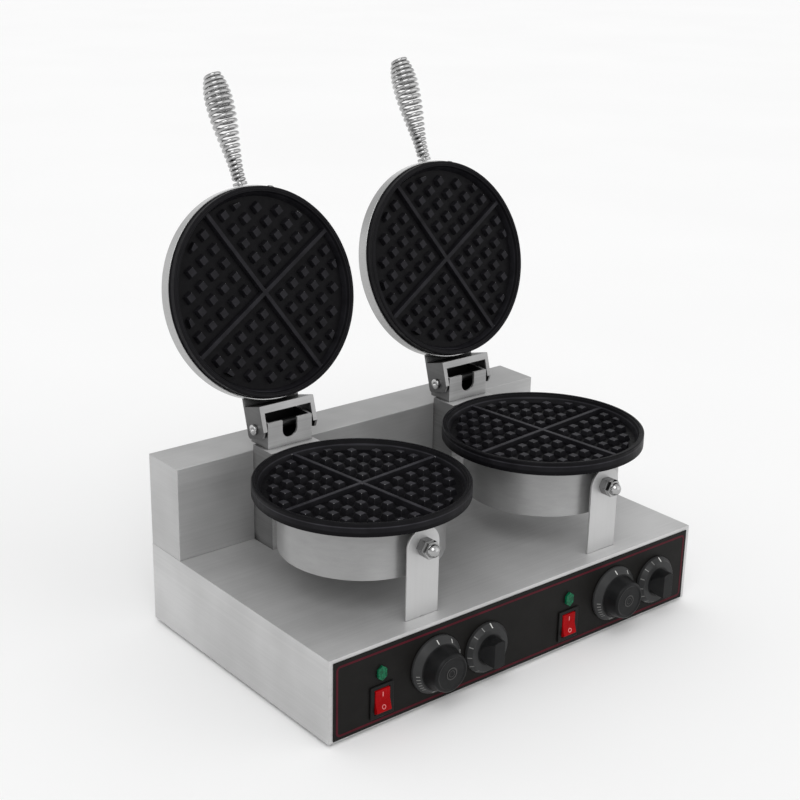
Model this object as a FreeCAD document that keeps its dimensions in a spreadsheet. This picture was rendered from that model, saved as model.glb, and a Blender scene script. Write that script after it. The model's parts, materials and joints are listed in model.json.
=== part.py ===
import FreeCAD, Part
import math
import os
import Sketcher

# Twin round waffle maker: two heads with peg-grid plates on one folded steel casing.
# Lengths are in millimetres and angles in degrees.
# X runs right, Y runs back and Z runs up. The origin is on the table, under the middle of the whole.
# Plate frame: Z leaves the baking face at its rim, so the casting lies at negative Z.
# Lid frame: the origin is on the hinge axis, Z runs out along the lid and the plate faces -Y.

SIZES = {
    # Casing and rear housing, folded from stainless sheet
    "origin_setback": 170.8,
    "casing_width": 480.0,
    "casing_depth": 304.0,
    "casing_height": 85.0,
    "casing_sheet": 1.5,
    "lip_width": 12.0,
    "bottom_sheet": 1.5,
    "bottom_gap": 0.3,
    "rear_depth": 54.0,
    "rear_height": 99.0,
    # Push-in feet and the screws of the bottom plate
    "foot_height": 4.0,
    "foot_radius": 9.0,
    "foot_inset": 40.0,
    "stem_radius": 3.0,
    "barb_radius": 4.2,
    "barb_height": 3.0,
    "stem_gap": 0.2,
    "screw_radius": 1.8,
    "screw_head_radius": 3.5,
    "screw_head": 2.0,
    "screw_gap": 0.15,
    "screw_end": 3.0,
    "screw_spread": 180.0,
    # Control panel, lying on the front of the casing
    "panel_thick": 1.0,
    "panel_side_margin": 4.7,
    "panel_bottom_margin": 1.5,
    "panel_top_margin": 3.8,
    # Rocker switches
    "switch_offset": -61.0,
    "switch_level": 26.0,
    "bezel_width": 27.0,
    "bezel_height": 33.0,
    "bezel_thick": 2.0,
    "bezel_lip": 1.2,
    "switch_depth": 22.0,
    "switch_cut_gap": 0.2,
    "rocker_width": 17.0,
    "rocker_radius": 12.5,
    "rocker_gap": 0.4,
    "rocker_pivot_depth": 4.0,
    "rocker_proud": 0.8,
    "rocker_back": 4.0,
    "rocker_swing": 16.0,
    # Pilot lamps
    "lamp_offset": -61.5,
    "lamp_level": 54.5,
    "lamp_width": 10.0,
    "lamp_height": 15.5,
    "lamp_shoulder": 8.0,
    "lamp_proud": 3.0,
    "lamp_stem_radius": 4.0,
    "lamp_stem": 14.0,
    # Timers and thermostats with their knobs
    "timer_offset": 3.0,
    "timer_level": 41.5,
    "timer_case": 38.0,
    "timer_case_depth": 24.0,
    "thermostat_offset": 66.2,
    "thermostat_level": 38.0,
    "thermostat_case": 30.0,
    "thermostat_case_depth": 20.0,
    "bush_radius": 4.5,
    "bush_gap": 0.3,
    "shaft_radius": 3.0,
    "shaft_length": 15.0,
    "knob_gap": 0.5,
    "knob_fit": 0.05,
    "knob_bore": 16.0,
    "timer_skirt_radius": 29.5,
    "timer_skirt_edge": 2.5,
    "timer_shoulder_radius": 24.0,
    "timer_shoulder": 8.5,
    "timer_cap_base": 22.5,
    "timer_cap_radius": 19.2,
    "timer_cap_height": 24.5,
    "timer_cap_bevel": 1.5,
    "timer_dish_radius": 15.5,
    "timer_dish": 0.8,
    "thermostat_skirt_radius": 26.0,
    "thermostat_skirt_edge": 3.0,
    "thermostat_face_radius": 22.5,
    "thermostat_face": 7.5,
    "grip_width": 13.0,
    "grip_base": 28.0,
    "grip_length": 28.0,
    "grip_height": 21.0,
    "grip_sink": 1.0,
    # Cord gland and terminal block
    "gland_inset": 70.0,
    "gland_level": 30.0,
    "gland_radius": 8.0,
    "gland_flange_radius": 11.5,
    "gland_flange": 4.0,
    "gland_nose": 9.0,
    "gland_tail": 6.0,
    "gland_bore_radius": 4.5,
    "gland_gap": 0.2,
    "terminal_length": 64.0,
    "terminal_width": 24.0,
    "terminal_height": 18.0,
    "terminal_pitch": 12.0,
    "terminal_hole_radius": 2.5,
    "terminal_hole_depth": 8.0,
    # Baking plates: the same casting four times
    "head_inset": 120.0,
    "head_setback": 109.0,
    "plate_rise": 108.4,
    "plate_radius": 106.0,
    "band_height": 13.5,
    "rim_width": 5.0,
    "rim_lip": 3.0,
    "rim_step": 1.0,
    "rim_bevel": 0.8,
    "well_slope": 4.0,
    "well_depth": 10.0,
    "floor_thick": 4.0,
    "pan_inset": 10.0,
    "boss_radius": 10.0,
    "peg_height": 5.5,
    "peg_top": 6.9,
    "peg_base": 10.0,
    "peg_first": 15.4,
    "peg_pitch": 17.6,
    "peg_reach": 92.5,
    "rib_top": 3.8,
    "rib_base": 6.2,
    "lower_turn": 6.0,
    "lid_turn": 31.3,
    # Heating elements and the discs that clamp them
    "element_ring": 55.0,
    "element_radius": 4.0,
    "element_sweep": 300.0,
    "element_tail": 18.0,
    "seat_gap": 0.2,
    "clamp_radius": 64.0,
    "clamp_thick": 2.5,
    # Drums under the lower plates
    "drum_radius": 82.0,
    "drum_sheet": 1.2,
    "drum_clear": 40.0,
    # Bolts, nuts and spacers of one thread size
    "bolt_radius": 5.0,
    "bolt_fit": 0.1,
    "bolt_gap": 0.25,
    "bolt_head_radius": 8.0,
    "bolt_head": 4.0,
    "nut_flats": 16.0,
    "nut_height": 8.0,
    "cap_base": 5.0,
    "cap_radius": 6.8,
    "cap_bore": 8.0,
    "stud_shoulder_radius": 7.5,
    "stud_grip": 6.0,
    "spacer_radius": 8.5,
    "spacer_gap": 0.1,
    "head_seat_gap": 0.45,
    # Front straps
    "strap_width": 38.5,
    "strap_thick": 2.0,
    "strap_setback": 16.0,
    "strap_bolt_rise": 72.0,
    "strap_foot": 14.0,
    "strap_slot_gap": 0.4,
    "strap_bridge": 3.0,
    # Hinge blocks and brackets
    "hinge_reach": 133.5,
    "hinge_rise": 15.0,
    "parting_gap": 0.6,
    "block_width": 61.0,
    "block_depth": 33.0,
    "block_sheet": 2.0,
    "axis_over_block": 19.0,
    "bracket_width": 54.0,
    "bracket_sheet": 2.5,
    "bracket_front": 14.3,
    "bracket_rise": 8.7,
    "stop_reach": 16.0,
    "stop_gap": 0.5,
    "notch_width": 18.0,
    "notch_drop": 11.0,
    "bracket_screw_spread": 28.0,
    "bracket_screw_setback": 4.0,
    # Hinge pins and washers
    "pin_radius": 4.0,
    "pin_fit": 0.05,
    "pin_head_radius": 5.5,
    "pin_head": 3.0,
    "pin_socket_radius": 2.2,
    "pin_socket": 1.8,
    "washer_radius": 8.0,
    "washer_gap": 0.2,
    # Lids
    "lid_lean": 16.0,
    "cover_gap": 0.4,
    "cover_sheet": 1.2,
    "cover_lip": 9.0,
    "cover_room": 0.9,
    "cover_round": 5.0,
    "yoke_width": 66.0,
    "yoke_sheet": 2.5,
    "yoke_drop": 9.8,
    "yoke_toe": 3.5,
    "yoke_chin": 11.0,
    "yoke_heel": 12.5,
    "yoke_heel_rise": -7.5,
    "web_reach": 15.3,
    "web_bar": 5.0,
    "web_side": 2.4,
    "ledge_reach": 20.5,
    "arm_reach": 78.0,
    "arm_tip": 40.0,
    "rivet_radius": 2.5,
    "rivet_head_radius": 5.0,
    "rivet_head": 2.0,
    "rivet_spread": 36.0,
    "rivet_near": 40.0,
    "rivet_far": 62.0,
    # Spring handles
    "handle_tilt": 8.5,
    "handle_seat": 1.4,
    "handle_clear": 1.4,
    "collar_radius": 7.4,
    "collar_height": 2.2,
    "stud_root": 4.0,
    "stud_radius": 2.6,
    "stud_reach": 28.0,
    "coil_wire": 4.0,
    "coil_length": 115.0,
    "coil_base": 14.2,
    "coil_widest": 29.2,
    "coil_top": 17.6,
    "coil_leg_bend": 4.0,
}

# Counts and shares that shape the spring handle
COIL_TURNS = 19
COIL_WIDEST_AT = 0.7
COIL_PITCH_SWELL = 0.18
# Pegs per quarter: rows count out from both ribs, and this is the last diagonal that is full
PEG_DIAGONAL = 6
PEG_EXTRA = [(2, 5), (3, 4), (4, 3), (5, 2)]
SIDES = {"left": -1, "right": 1}
# How far a cutting tool runs past the face it enters
PAST = 5.0


class Size:
    """A size with its number and the sheet expression that it comes from."""

    def __init__(self, value, text):
        self.value = value
        self.text = text

    def __add__(self, other):
        return joined(self, "+", other)

    def __radd__(self, other):
        return joined(other, "+", self)

    def __sub__(self, other):
        return joined(self, "-", other)

    def __rsub__(self, other):
        return joined(other, "-", self)

    def __mul__(self, other):
        return joined(self, "*", other)

    def __rmul__(self, other):
        return joined(other, "*", self)

    def __truediv__(self, other):
        return joined(self, "/", other)

    def __neg__(self):
        return joined(0, "-", self)


OPERATIONS = {
    "+": lambda a, b: a + b,
    "-": lambda a, b: a - b,
    "*": lambda a, b: a * b,
    "/": lambda a, b: a / b,
}


def sized(number):
    if isinstance(number, Size):
        return number
    return Size(float(number), f"({float(number)!r})")


def joined(first, sign, second):
    first, second = sized(first), sized(second)
    return Size(OPERATIONS[sign](first.value, second.value), f"({first.text} {sign} {second.text})")


def sine(angle):
    return Size(math.sin(math.radians(angle.value)), f"sin({angle.text})")


def cosine(angle):
    return Size(math.cos(math.radians(angle.value)), f"cos({angle.text})")


def tangent(angle):
    return Size(math.tan(math.radians(angle.value)), f"tan({angle.text})")


doc = FreeCAD.newDocument("waffle_maker")
sheet = doc.addObject("Spreadsheet::Sheet", "sizes")
for row, (alias, number) in enumerate(SIZES.items(), start=1):
    sheet.set(f"A{row}", alias)
    sheet.set(f"B{row}", str(number))
    sheet.setAlias(f"B{row}", alias)
doc.recompute()


class Sheet:
    """Each cell of the sheet, by its alias."""

    def __getattr__(self, alias):
        return Size(float(sheet.get(alias)), f"sizes.{alias}")


S = Sheet()
Vector = FreeCAD.Vector
nodes = {}


def bind(item, prop, size):
    item.setExpression(prop, sized(size).text)


def place(item, at, axis=None, angle=0):
    """Put an item's own origin at a point, turned by an angle about an axis through it."""
    if axis is not None:
        start = max(sized(angle).value, 1.0)
        item.Placement = FreeCAD.Placement(Vector(), FreeCAD.Rotation(Vector(*axis), start))
        bind(item, "Placement.Rotation.Angle", angle)
    for letter, size in zip("xyz", at):
        bind(item, f"Placement.Base.{letter}", size)
    return item


def node(label, item):
    """Name a finished sub-part."""
    item.Label = label
    nodes[label] = item
    return item


def block(x, y, z):
    """A box between a low and a high size along each axis."""
    box = doc.addObject("Part::Box", "block")
    for prop, (low, high) in zip(("Length", "Width", "Height"), (x, y, z)):
        bind(box, prop, high - low)
    return place(box, (x[0], y[0], z[0]))


AXIS_TURNS = {"x": ((0, 1, 0), 90), "y": ((-1, 0, 0), 90), "z": (None, 0)}


def rod(radius, axis, at, length):
    """A cylinder that starts at a point and runs along an axis."""
    cylinder = doc.addObject("Part::Cylinder", "rod")
    bind(cylinder, "Radius", radius)
    bind(cylinder, "Height", length)
    return place(cylinder, at, *AXIS_TURNS[axis])


def prism(flats, axis, at, length):
    """A hexagonal bar, by its width across flats."""
    hexagon = doc.addObject("Part::Prism", "prism")
    hexagon.Polygon = 6
    bind(hexagon, "Circumradius", flats / (2 * cosine(sized(30))))
    bind(hexagon, "Height", length)
    return place(hexagon, at, *AXIS_TURNS[axis])


def fuse(*items):
    whole = doc.addObject("Part::MultiFuse", "whole")
    whole.Shapes = list(items)
    whole.Refine = True
    return whole


def cut(base, *tools):
    rest = doc.addObject("Part::Cut", "rest")
    rest.Base = base
    rest.Tool = tools[0] if len(tools) == 1 else fuse(*tools)
    rest.Refine = True
    return rest


def common(first, second):
    shared = doc.addObject("Part::Common", "shared")
    shared.Base = first
    shared.Tool = second
    return shared


def group(items):
    """Separate solids that share one node."""
    bundle = doc.addObject("Part::Compound", "bundle")
    bundle.Links = list(items)
    return bundle


def outline(body, role, points):
    """A closed outline in one of the body's own planes, each corner held by its two distances."""
    sketch = body.newObject("Sketcher::SketchObject", "outline")
    plane = [item for item in body.Origin.OriginFeatures if item.Role == role][0]
    sketch.AttachmentSupport = (plane, [""])
    sketch.MapMode = "FlatFace"
    corners = [(sized(across), sized(up)) for across, up in points]
    for first, second in zip(corners, corners[1:] + corners[:1]):
        ends = [Vector(across.value, up.value, 0) for across, up in (first, second)]
        sketch.addGeometry(Part.LineSegment(*ends), False)
    count = len(corners)
    for index, (across, up) in enumerate(corners):
        sketch.addConstraint(Sketcher.Constraint("Coincident", index, 2, (index + 1) % count, 1))
        for kind, size, on_axis in (("DistanceX", across, -2), ("DistanceY", up, -1)):
            if size.text == sized(0).text:
                sketch.addConstraint(Sketcher.Constraint("PointOnObject", index, 1, on_axis))
            else:
                row = sketch.addConstraint(Sketcher.Constraint(kind, -1, 1, index, 1, size.value))
                bind(sketch, f"Constraints[{row}]", size)
    return sketch


def revolved(points):
    """A round solid about Z, from corners given as (radius, height)."""
    body = doc.addObject("PartDesign::Body", "round")
    sketch = outline(body, "XZ_Plane", points)
    turn = body.newObject("PartDesign::Revolution", "turn")
    turn.Profile = sketch
    turn.ReferenceAxis = (sketch, ["V_Axis"])
    turn.Angle = 360
    return body


def extruded(role, points, low, high):
    """A flat outline carried from a low to a high size: along X on YZ_Plane, along Y on XZ_Plane."""
    body = doc.addObject("PartDesign::Body", "profile")
    sketch = outline(body, role, points)
    pad = body.newObject("PartDesign::Pad", "pad")
    pad.Profile = sketch
    bind(pad, "Length", high - low)
    backwards = role == "XZ_Plane"
    pad.Reversed = backwards
    bind(sketch, "AttachmentOffset.Base.z", -low if backwards else low)
    return body


# Levels and lines that several sub-parts share

half_width = S.casing_width / 2
front = -S.origin_setback
back = front + S.casing_depth
middle_y = (front + back) / 2
edge = S.foot_height
deck = edge + S.casing_height
lip_low = edge + S.bottom_sheet
lip_high = lip_low + S.casing_sheet
rear_front = back - S.rear_depth
rear_top = deck + S.rear_height
panel_face = front - S.panel_thick
bezel_face = panel_face - S.bezel_thick
inside_x = half_width - S.casing_sheet
inside_front = front + S.casing_sheet
inside_back = back - S.casing_sheet

head_y = front + S.head_setback
rim_top = deck + S.plate_rise
plate_depth = S.well_depth + S.floor_thick
boss_length = 2 * S.element_radius + 2 * S.seat_gap
boss_depth = plate_depth + boss_length
clamp_depth = boss_depth + S.clamp_thick
drum_bottom = deck + S.drum_clear
drum_height = rim_top - plate_depth - drum_bottom
bolt_level = deck + S.strap_bolt_rise
strap_front = front + S.strap_setback
drum_front = head_y - S.drum_radius
drum_back = head_y + S.drum_radius

axis_y = head_y + S.hinge_reach
axis_z = rim_top + S.parting_gap + S.hinge_rise
block_top = axis_z - S.axis_over_block
block_front = rear_front - S.block_depth

cover_inner = S.plate_radius + S.cover_gap
cover_radius = cover_inner + S.cover_sheet
cover_depth = clamp_depth + S.cover_room + S.cover_sheet
cover_back = cover_depth - S.hinge_rise
lean_sine = sine(S.lid_lean)
lean_cosine = cosine(S.lid_lean)


def head_x(side):
    return side * (half_width - S.head_inset)


def lid_point(out, rise):
    """World Y and Z of a point in the lid frame: how far out along the lid, how far before its axis."""
    return (axis_y + out * lean_sine - rise * lean_cosine,
            axis_z + out * lean_cosine + rise * lean_sine)


def on_head(item, side):
    """Put a piece that is built in the plate frame on a lower head."""
    return place(item, (head_x(side), head_y, rim_top))


def on_lid(item, side):
    """Put a piece that is built in the plate frame in an open lid."""
    return place(item, (head_x(side), *lid_point(S.hinge_reach, S.hinge_rise)), (1, 0, 0), 90 - S.lid_lean)


def on_hinge(item, side):
    """Put a piece that is built in the lid frame on its open hinge."""
    return place(item, (head_x(side), axis_y, axis_z), (-1, 0, 0), S.lid_lean)


# Controls on the front

def control_place(offset, level, side):
    return head_x(side) + offset, edge + level


def front_openings(side):
    """Tools that open the panel and the casing's front wall for one head's controls."""
    x, z = control_place(S.switch_offset, S.switch_level, side)
    wide = S.bezel_width / 2 - S.bezel_lip + S.switch_cut_gap
    tall = S.bezel_height / 2 - S.bezel_lip + S.switch_cut_gap
    through = (panel_face - PAST, front + S.casing_sheet + PAST)
    tools = [block((x - wide, x + wide), through, (z - tall, z + tall))]
    rounds = [
        (S.lamp_offset, S.lamp_level, S.lamp_stem_radius + S.bush_gap),
        (S.timer_offset, S.timer_level, S.bush_radius + S.bush_gap),
        (S.thermostat_offset, S.thermostat_level, S.bush_radius + S.bush_gap),
    ]
    for offset, level, radius in rounds:
        x, z = control_place(offset, level, side)
        tools.append(rod(radius, "y", (x, through[0], z), through[1] - through[0]))
    return tools


def switch_frame(side):
    x, z = control_place(S.switch_offset, S.switch_level, side)
    wide, tall = S.bezel_width / 2, S.bezel_height / 2
    bezel = block((x - wide, x + wide), (bezel_face, panel_face), (z - tall, z + tall))
    wide, tall = wide - S.bezel_lip, tall - S.bezel_lip
    case = block((x - wide, x + wide), (panel_face, front + S.switch_depth), (z - tall, z + tall))
    wide = S.rocker_width / 2 + S.rocker_gap
    tall = S.rocker_radius + S.rocker_gap
    floor_y = bezel_face + S.rocker_pivot_depth + S.rocker_radius + S.rocker_gap
    pocket = block((x - wide, x + wide), (bezel_face - PAST, floor_y), (z - tall, z + tall))
    return cut(fuse(bezel, case), pocket)


def rocker(side):
    x, z = control_place(S.switch_offset, S.switch_level, side)
    reach = S.rocker_radius
    crease = -(S.rocker_pivot_depth + S.rocker_proud)
    lip = crease - reach * tangent(S.rocker_swing / 2)
    wide = S.rocker_width / 2
    faces = [(crease, 0), (lip, -reach), (S.rocker_back, -reach), (S.rocker_back, reach), (lip, reach)]
    wedge = extruded("YZ_Plane", faces, -wide, wide)
    drum = rod(reach, "x", (-wide, 0, 0), S.rocker_width)
    at = (x, bezel_face + S.rocker_pivot_depth, z)
    return place(common(wedge, drum), at, (-1, 0, 0), S.rocker_swing / 2)


def lamp_lens(side):
    x, z = control_place(S.lamp_offset, S.lamp_level, side)
    wide, tall, shoulder = S.lamp_width / 2, S.lamp_height / 2, S.lamp_shoulder / 2
    corners = [(x, z - tall), (x + wide, z - shoulder), (x + wide, z + shoulder),
               (x, z + tall), (x - wide, z + shoulder), (x - wide, z - shoulder)]
    lens = extruded("XZ_Plane", corners, panel_face - S.lamp_proud, panel_face)
    stem = rod(S.lamp_stem_radius, "y", (x, panel_face, z), S.lamp_stem)
    return fuse(lens, stem)


def control_unit(offset, level, case, depth, side):
    """A timer or thermostat: its case behind the front wall, its bush and its shaft."""
    x, z = control_place(offset, level, side)
    wall = front + S.casing_sheet
    shell = block((x - case / 2, x + case / 2), (wall, wall + depth), (z - case / 2, z + case / 2))
    bush = rod(S.bush_radius, "y", (x, panel_face, z), wall - panel_face)
    shaft = rod(S.shaft_radius, "y", (x, panel_face - S.shaft_length, z), S.shaft_length)
    return fuse(shell, bush, shaft)


def on_shaft(knob, offset, level, side):
    x, z = control_place(offset, level, side)
    return place(knob, (x, panel_face - S.knob_gap, z), (1, 0, 0), sized(90))


def timer_knob(side):
    bore = S.shaft_radius + S.knob_fit
    dish = S.timer_cap_height - S.timer_dish
    knob = revolved([
        (bore, 0),
        (S.timer_skirt_radius, 0),
        (S.timer_skirt_radius, S.timer_skirt_edge),
        (S.timer_shoulder_radius, S.timer_shoulder),
        (S.timer_cap_base, S.timer_shoulder),
        (S.timer_cap_radius, S.timer_cap_height - S.timer_cap_bevel),
        (S.timer_cap_radius - S.timer_cap_bevel, S.timer_cap_height),
        (S.timer_dish_radius + S.timer_dish, S.timer_cap_height),
        (S.timer_dish_radius, dish),
        (0, dish),
        (0, S.knob_bore),
        (bore, S.knob_bore),
    ])
    return on_shaft(knob, S.timer_offset, S.timer_level, side)


def thermostat_knob(side):
    bore = S.shaft_radius + S.knob_fit
    skirt = revolved([
        (0, 0),
        (S.thermostat_skirt_radius, 0),
        (S.thermostat_skirt_radius, S.thermostat_skirt_edge),
        (S.thermostat_face_radius, S.thermostat_face),
        (0, S.thermostat_face),
    ])
    low, high = S.thermostat_face - S.grip_sink, S.grip_height
    foot, across, along = S.grip_base / 2, S.grip_width / 2, S.grip_length / 2
    wedge = extruded("XZ_Plane", [(-foot, low), (foot, low), (across, high), (-across, high)], -along, along)
    bar = common(wedge, rod(along, "z", (0, 0, low), high - low))
    knob = cut(fuse(skirt, bar), rod(bore, "z", (0, 0, 0), S.knob_bore))
    return on_shaft(knob, S.thermostat_offset, S.thermostat_level, side)


# Casing

def strap_slots(side):
    """Two slots in the deck, one for each tab of a strap, with a bridge between them."""
    x = head_x(side)
    wide = S.strap_width / 2 + S.strap_slot_gap
    narrow = S.strap_bridge / 2 - S.strap_slot_gap
    y = (strap_front - S.strap_slot_gap, strap_front + S.strap_thick + S.strap_slot_gap)
    z = (deck - S.casing_sheet - PAST, deck + PAST)
    return [block(span, y, z) for span in ((x - wide, x - narrow), (x + narrow, x + wide))]


def lip_screw_places():
    x = inside_x - S.lip_width / 2
    reach = S.screw_spread / 2
    return [(across * x, middle_y + along * reach) for across in (-1, 1) for along in (-1, 1)]


def foot_places():
    x = half_width - S.foot_inset
    return [(across * x, y) for across in (-1, 1) for y in (front + S.foot_inset, back - S.foot_inset)]


def base_casing(openings):
    outer = block((-half_width, half_width), (front, back), (edge, deck))
    inside_y = (inside_front, inside_back)
    room = block((-inside_x, inside_x), inside_y, (lip_high, deck - S.casing_sheet))
    tray = block((-inside_x, inside_x), inside_y, (edge - PAST, lip_low))
    mouth_x = inside_x - S.lip_width
    mouth = block((-mouth_x, mouth_x), (inside_front + S.lip_width, inside_back - S.lip_width),
                  (edge, lip_high + PAST))
    gland_x, gland_z = half_width - S.gland_inset, edge + S.gland_level
    tools = [rod(S.gland_radius + S.gland_gap, "y", (gland_x, inside_back - PAST, gland_z),
                 S.casing_sheet + 2 * PAST)]
    tools += [slot for side in SIDES.values() for slot in strap_slots(side)]
    for x, y in lip_screw_places():
        tools.append(rod(S.screw_radius + S.screw_gap, "z", (x, y, edge), lip_high - edge + PAST))
    return cut(outer, room, tray, mouth, *tools, *openings)


def rear_housing():
    outer = block((-half_width, half_width), (rear_front, back), (deck, rear_top))
    y = (rear_front + S.casing_sheet, inside_back)
    return cut(outer, block((-inside_x, inside_x), y, (deck - PAST, rear_top - S.casing_sheet)))


def bottom_plate():
    x = inside_x - S.bottom_gap
    plate = block((-x, x), (inside_front + S.bottom_gap, inside_back - S.bottom_gap), (edge, lip_low))
    start, length = edge - PAST, S.bottom_sheet + 2 * PAST
    tools = [rod(S.screw_radius + S.screw_gap, "z", (*at, start), length) for at in lip_screw_places()]
    tools += [rod(S.stem_radius + S.stem_gap, "z", (*at, start), length) for at in foot_places()]
    return cut(plate, *tools)


def casing_screws():
    head_low = edge - S.screw_head
    corners = [(0, 0), (S.screw_head_radius, 0), (S.screw_head_radius, S.screw_head),
               (S.screw_radius, S.screw_head), (S.screw_radius, lip_high + S.screw_end - head_low),
               (0, lip_high + S.screw_end - head_low)]
    return group(place(revolved(corners), (*at, head_low)) for at in lip_screw_places())


def rubber_feet():
    corners = [(0, 0), (S.foot_radius, 0), (S.foot_radius, edge), (S.stem_radius, edge),
               (S.stem_radius, lip_low), (S.barb_radius, lip_low),
               (S.stem_radius, lip_low + S.barb_height), (0, lip_low + S.barb_height)]
    return group(place(revolved(corners), (*at, 0)) for at in foot_places())


def control_panel(openings):
    x = half_width - S.panel_side_margin
    z = (edge + S.panel_bottom_margin, deck - S.panel_top_margin)
    return cut(block((-x, x), (panel_face, front), z), *openings)


def cord_gland():
    wall = S.casing_sheet
    corners = [
        (S.gland_bore_radius, -wall - S.gland_tail),
        (S.gland_radius, -wall - S.gland_tail),
        (S.gland_radius, 0),
        (S.gland_flange_radius, 0),
        (S.gland_flange_radius, S.gland_flange),
        (S.gland_radius, S.gland_flange),
        (S.gland_radius - 1.5, S.gland_flange + S.gland_nose),
        (S.gland_bore_radius, S.gland_flange + S.gland_nose),
    ]
    at = (half_width - S.gland_inset, back, edge + S.gland_level)
    return place(revolved(corners), at, (-1, 0, 0), sized(90))


def terminal_block():
    x, y = S.terminal_length / 2, S.terminal_width / 2
    top = lip_low + S.terminal_height
    body = block((-x, x), (middle_y - y, middle_y + y), (lip_low, top))
    ways = int(S.terminal_length.value / S.terminal_pitch.value)
    tools = []
    for way in range(ways):
        across = (way - (ways - 1) / 2) * S.terminal_pitch
        for along in (middle_y - y / 2, middle_y + y / 2):
            start = (across, along, top - S.terminal_hole_depth)
            tools.append(rod(S.terminal_hole_radius, "z", start, S.terminal_hole_depth + PAST))
    return cut(body, *tools)


# Baking plates and what hangs under them, in the plate frame

def peg_places():
    """Pegs of one quarter, by row and column out from the two ribs."""
    full = range(1, PEG_DIAGONAL)
    inner = [(i, j) for i in full for j in full if i + j <= PEG_DIAGONAL]
    first, pitch = S.peg_first.value, S.peg_pitch.value
    return [(first + (i - 1) * pitch, first + (j - 1) * pitch) for i, j in inner + PEG_EXTRA]


def square(side, height, centre):
    x, y = centre
    corners = [(x + a * side / 2, y + b * side / 2) for a, b in ((-1, -1), (1, -1), (1, 1), (-1, 1))]
    return Part.makePolygon([Vector(*corner, height) for corner in corners + corners[:1]])


def frustum(base, top, low, high, centre):
    return Part.makeLoft([square(base, low, centre), square(top, high, centre)], True, True)


def rib(base, top, low, high, reach):
    """A bar of tapered section along X."""
    section = [(-base / 2, low), (base / 2, low), (top / 2, high), (-top / 2, high)]
    points = [Vector(-reach, across, height) for across, height in section]
    face = Part.Face(Part.makePolygon(points + points[:1]))
    return face.extrude(Vector(2 * reach, 0, 0))


def waffle_grid(turn):
    """The cross of ribs and the four quarters of pegs, standing in the floor of the well."""
    sink = S.floor_thick.value / 4
    floor = -S.well_depth.value
    high = floor + S.peg_height.value
    low = floor - sink
    spread = sink * (S.peg_base.value - S.peg_top.value) / S.peg_height.value
    rib_spread = sink * (S.rib_base.value - S.rib_top.value) / S.peg_height.value
    reach = S.plate_radius.value - S.rim_width.value - S.well_slope.value / 4
    centre = Vector()
    up = Vector(0, 0, 1)
    trim = Part.makeCylinder(S.peg_reach.value, high - low, Vector(0, 0, low))
    bar = rib(S.rib_base.value + rib_spread, S.rib_top.value, low, high, reach)
    cross = bar.fuse(bar.rotated(centre, up, 90))
    pegs = []
    for place_in_quarter in peg_places():
        peg = frustum(S.peg_base.value + spread, S.peg_top.value, low, high, place_in_quarter)
        if math.hypot(*place_in_quarter) > S.peg_reach.value - S.peg_top.value / 2:
            peg = peg.common(trim)
        pegs += [peg.rotated(centre, up, quarter * 90) for quarter in range(4)]
    grid = doc.addObject("Part::Feature", "grid")
    grid.Shape = Part.Compound([cross, *pegs]).rotated(centre, up, turn.value)
    return grid


def baking_plate(turn):
    rim_inner = S.plate_radius - S.rim_width
    pan_radius = S.plate_radius - S.pan_inset
    thread = S.bolt_radius + S.bolt_fit
    casting = revolved([
        (0, -S.well_depth),
        (rim_inner - S.well_slope, -S.well_depth),
        (rim_inner, -S.rim_step),
        (S.plate_radius - S.rim_lip, -S.rim_step),
        (S.plate_radius - S.rim_lip, 0),
        (S.plate_radius - S.rim_bevel, 0),
        (S.plate_radius, -S.rim_bevel),
        (S.plate_radius, -S.band_height),
        (pan_radius + plate_depth - S.band_height, -S.band_height),
        (pan_radius, -plate_depth),
        (S.boss_radius, -plate_depth),
        (S.boss_radius, -boss_depth),
        (thread, -boss_depth),
        (thread, -plate_depth),
        (0, -plate_depth),
    ])
    return fuse(casting, waffle_grid(turn))


def element():
    """A tubular heater: most of a ring, with both ends turned in."""
    ring = doc.addObject("Part::Torus", "ring")
    bind(ring, "Radius1", S.element_ring)
    bind(ring, "Radius2", S.element_radius)
    bind(ring, "Angle3", S.element_sweep)
    level = -(plate_depth + S.seat_gap + S.element_radius)
    place(ring, (0, 0, level))
    pieces = [ring]
    for angle in (sized(0), S.element_sweep):
        x, y = S.element_ring * cosine(angle), S.element_ring * sine(angle)
        ball = doc.addObject("Part::Sphere", "elbow")
        bind(ball, "Radius", S.element_radius)
        place(ball, (x, y, level))
        tail = doc.addObject("Part::Cylinder", "tail")
        bind(tail, "Radius", S.element_radius)
        bind(tail, "Height", S.element_tail)
        inward = FreeCAD.Rotation(Vector(0, 0, 1), angle.value) * FreeCAD.Rotation(Vector(0, 1, 0), -90)
        tail.Placement = FreeCAD.Placement(Vector(), inward)
        place(tail, (x, y, level))
        pieces += [ball, tail]
    return fuse(*pieces)


def clamp_disc():
    hole = S.bolt_radius + S.bolt_gap
    return revolved([(hole, -clamp_depth), (S.clamp_radius, -clamp_depth),
                     (S.clamp_radius, -boss_depth), (hole, -boss_depth)])


# Drums, straps and their fasteners

def wall_hole(side, low, high):
    radius = S.bolt_radius + S.bolt_gap
    return rod(radius, "y", (head_x(side), low, bolt_level), high - low)


def drum(side):
    hole = S.bolt_radius + S.bolt_gap
    inner = S.drum_radius - S.drum_sheet
    cup = revolved([(hole, 0), (S.drum_radius, 0), (S.drum_radius, drum_height),
                    (inner, drum_height), (inner, S.drum_sheet), (hole, S.drum_sheet)])
    place(cup, (head_x(side), head_y, drum_bottom))
    return cut(cup, wall_hole(side, drum_front - PAST, drum_back + PAST))


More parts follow.
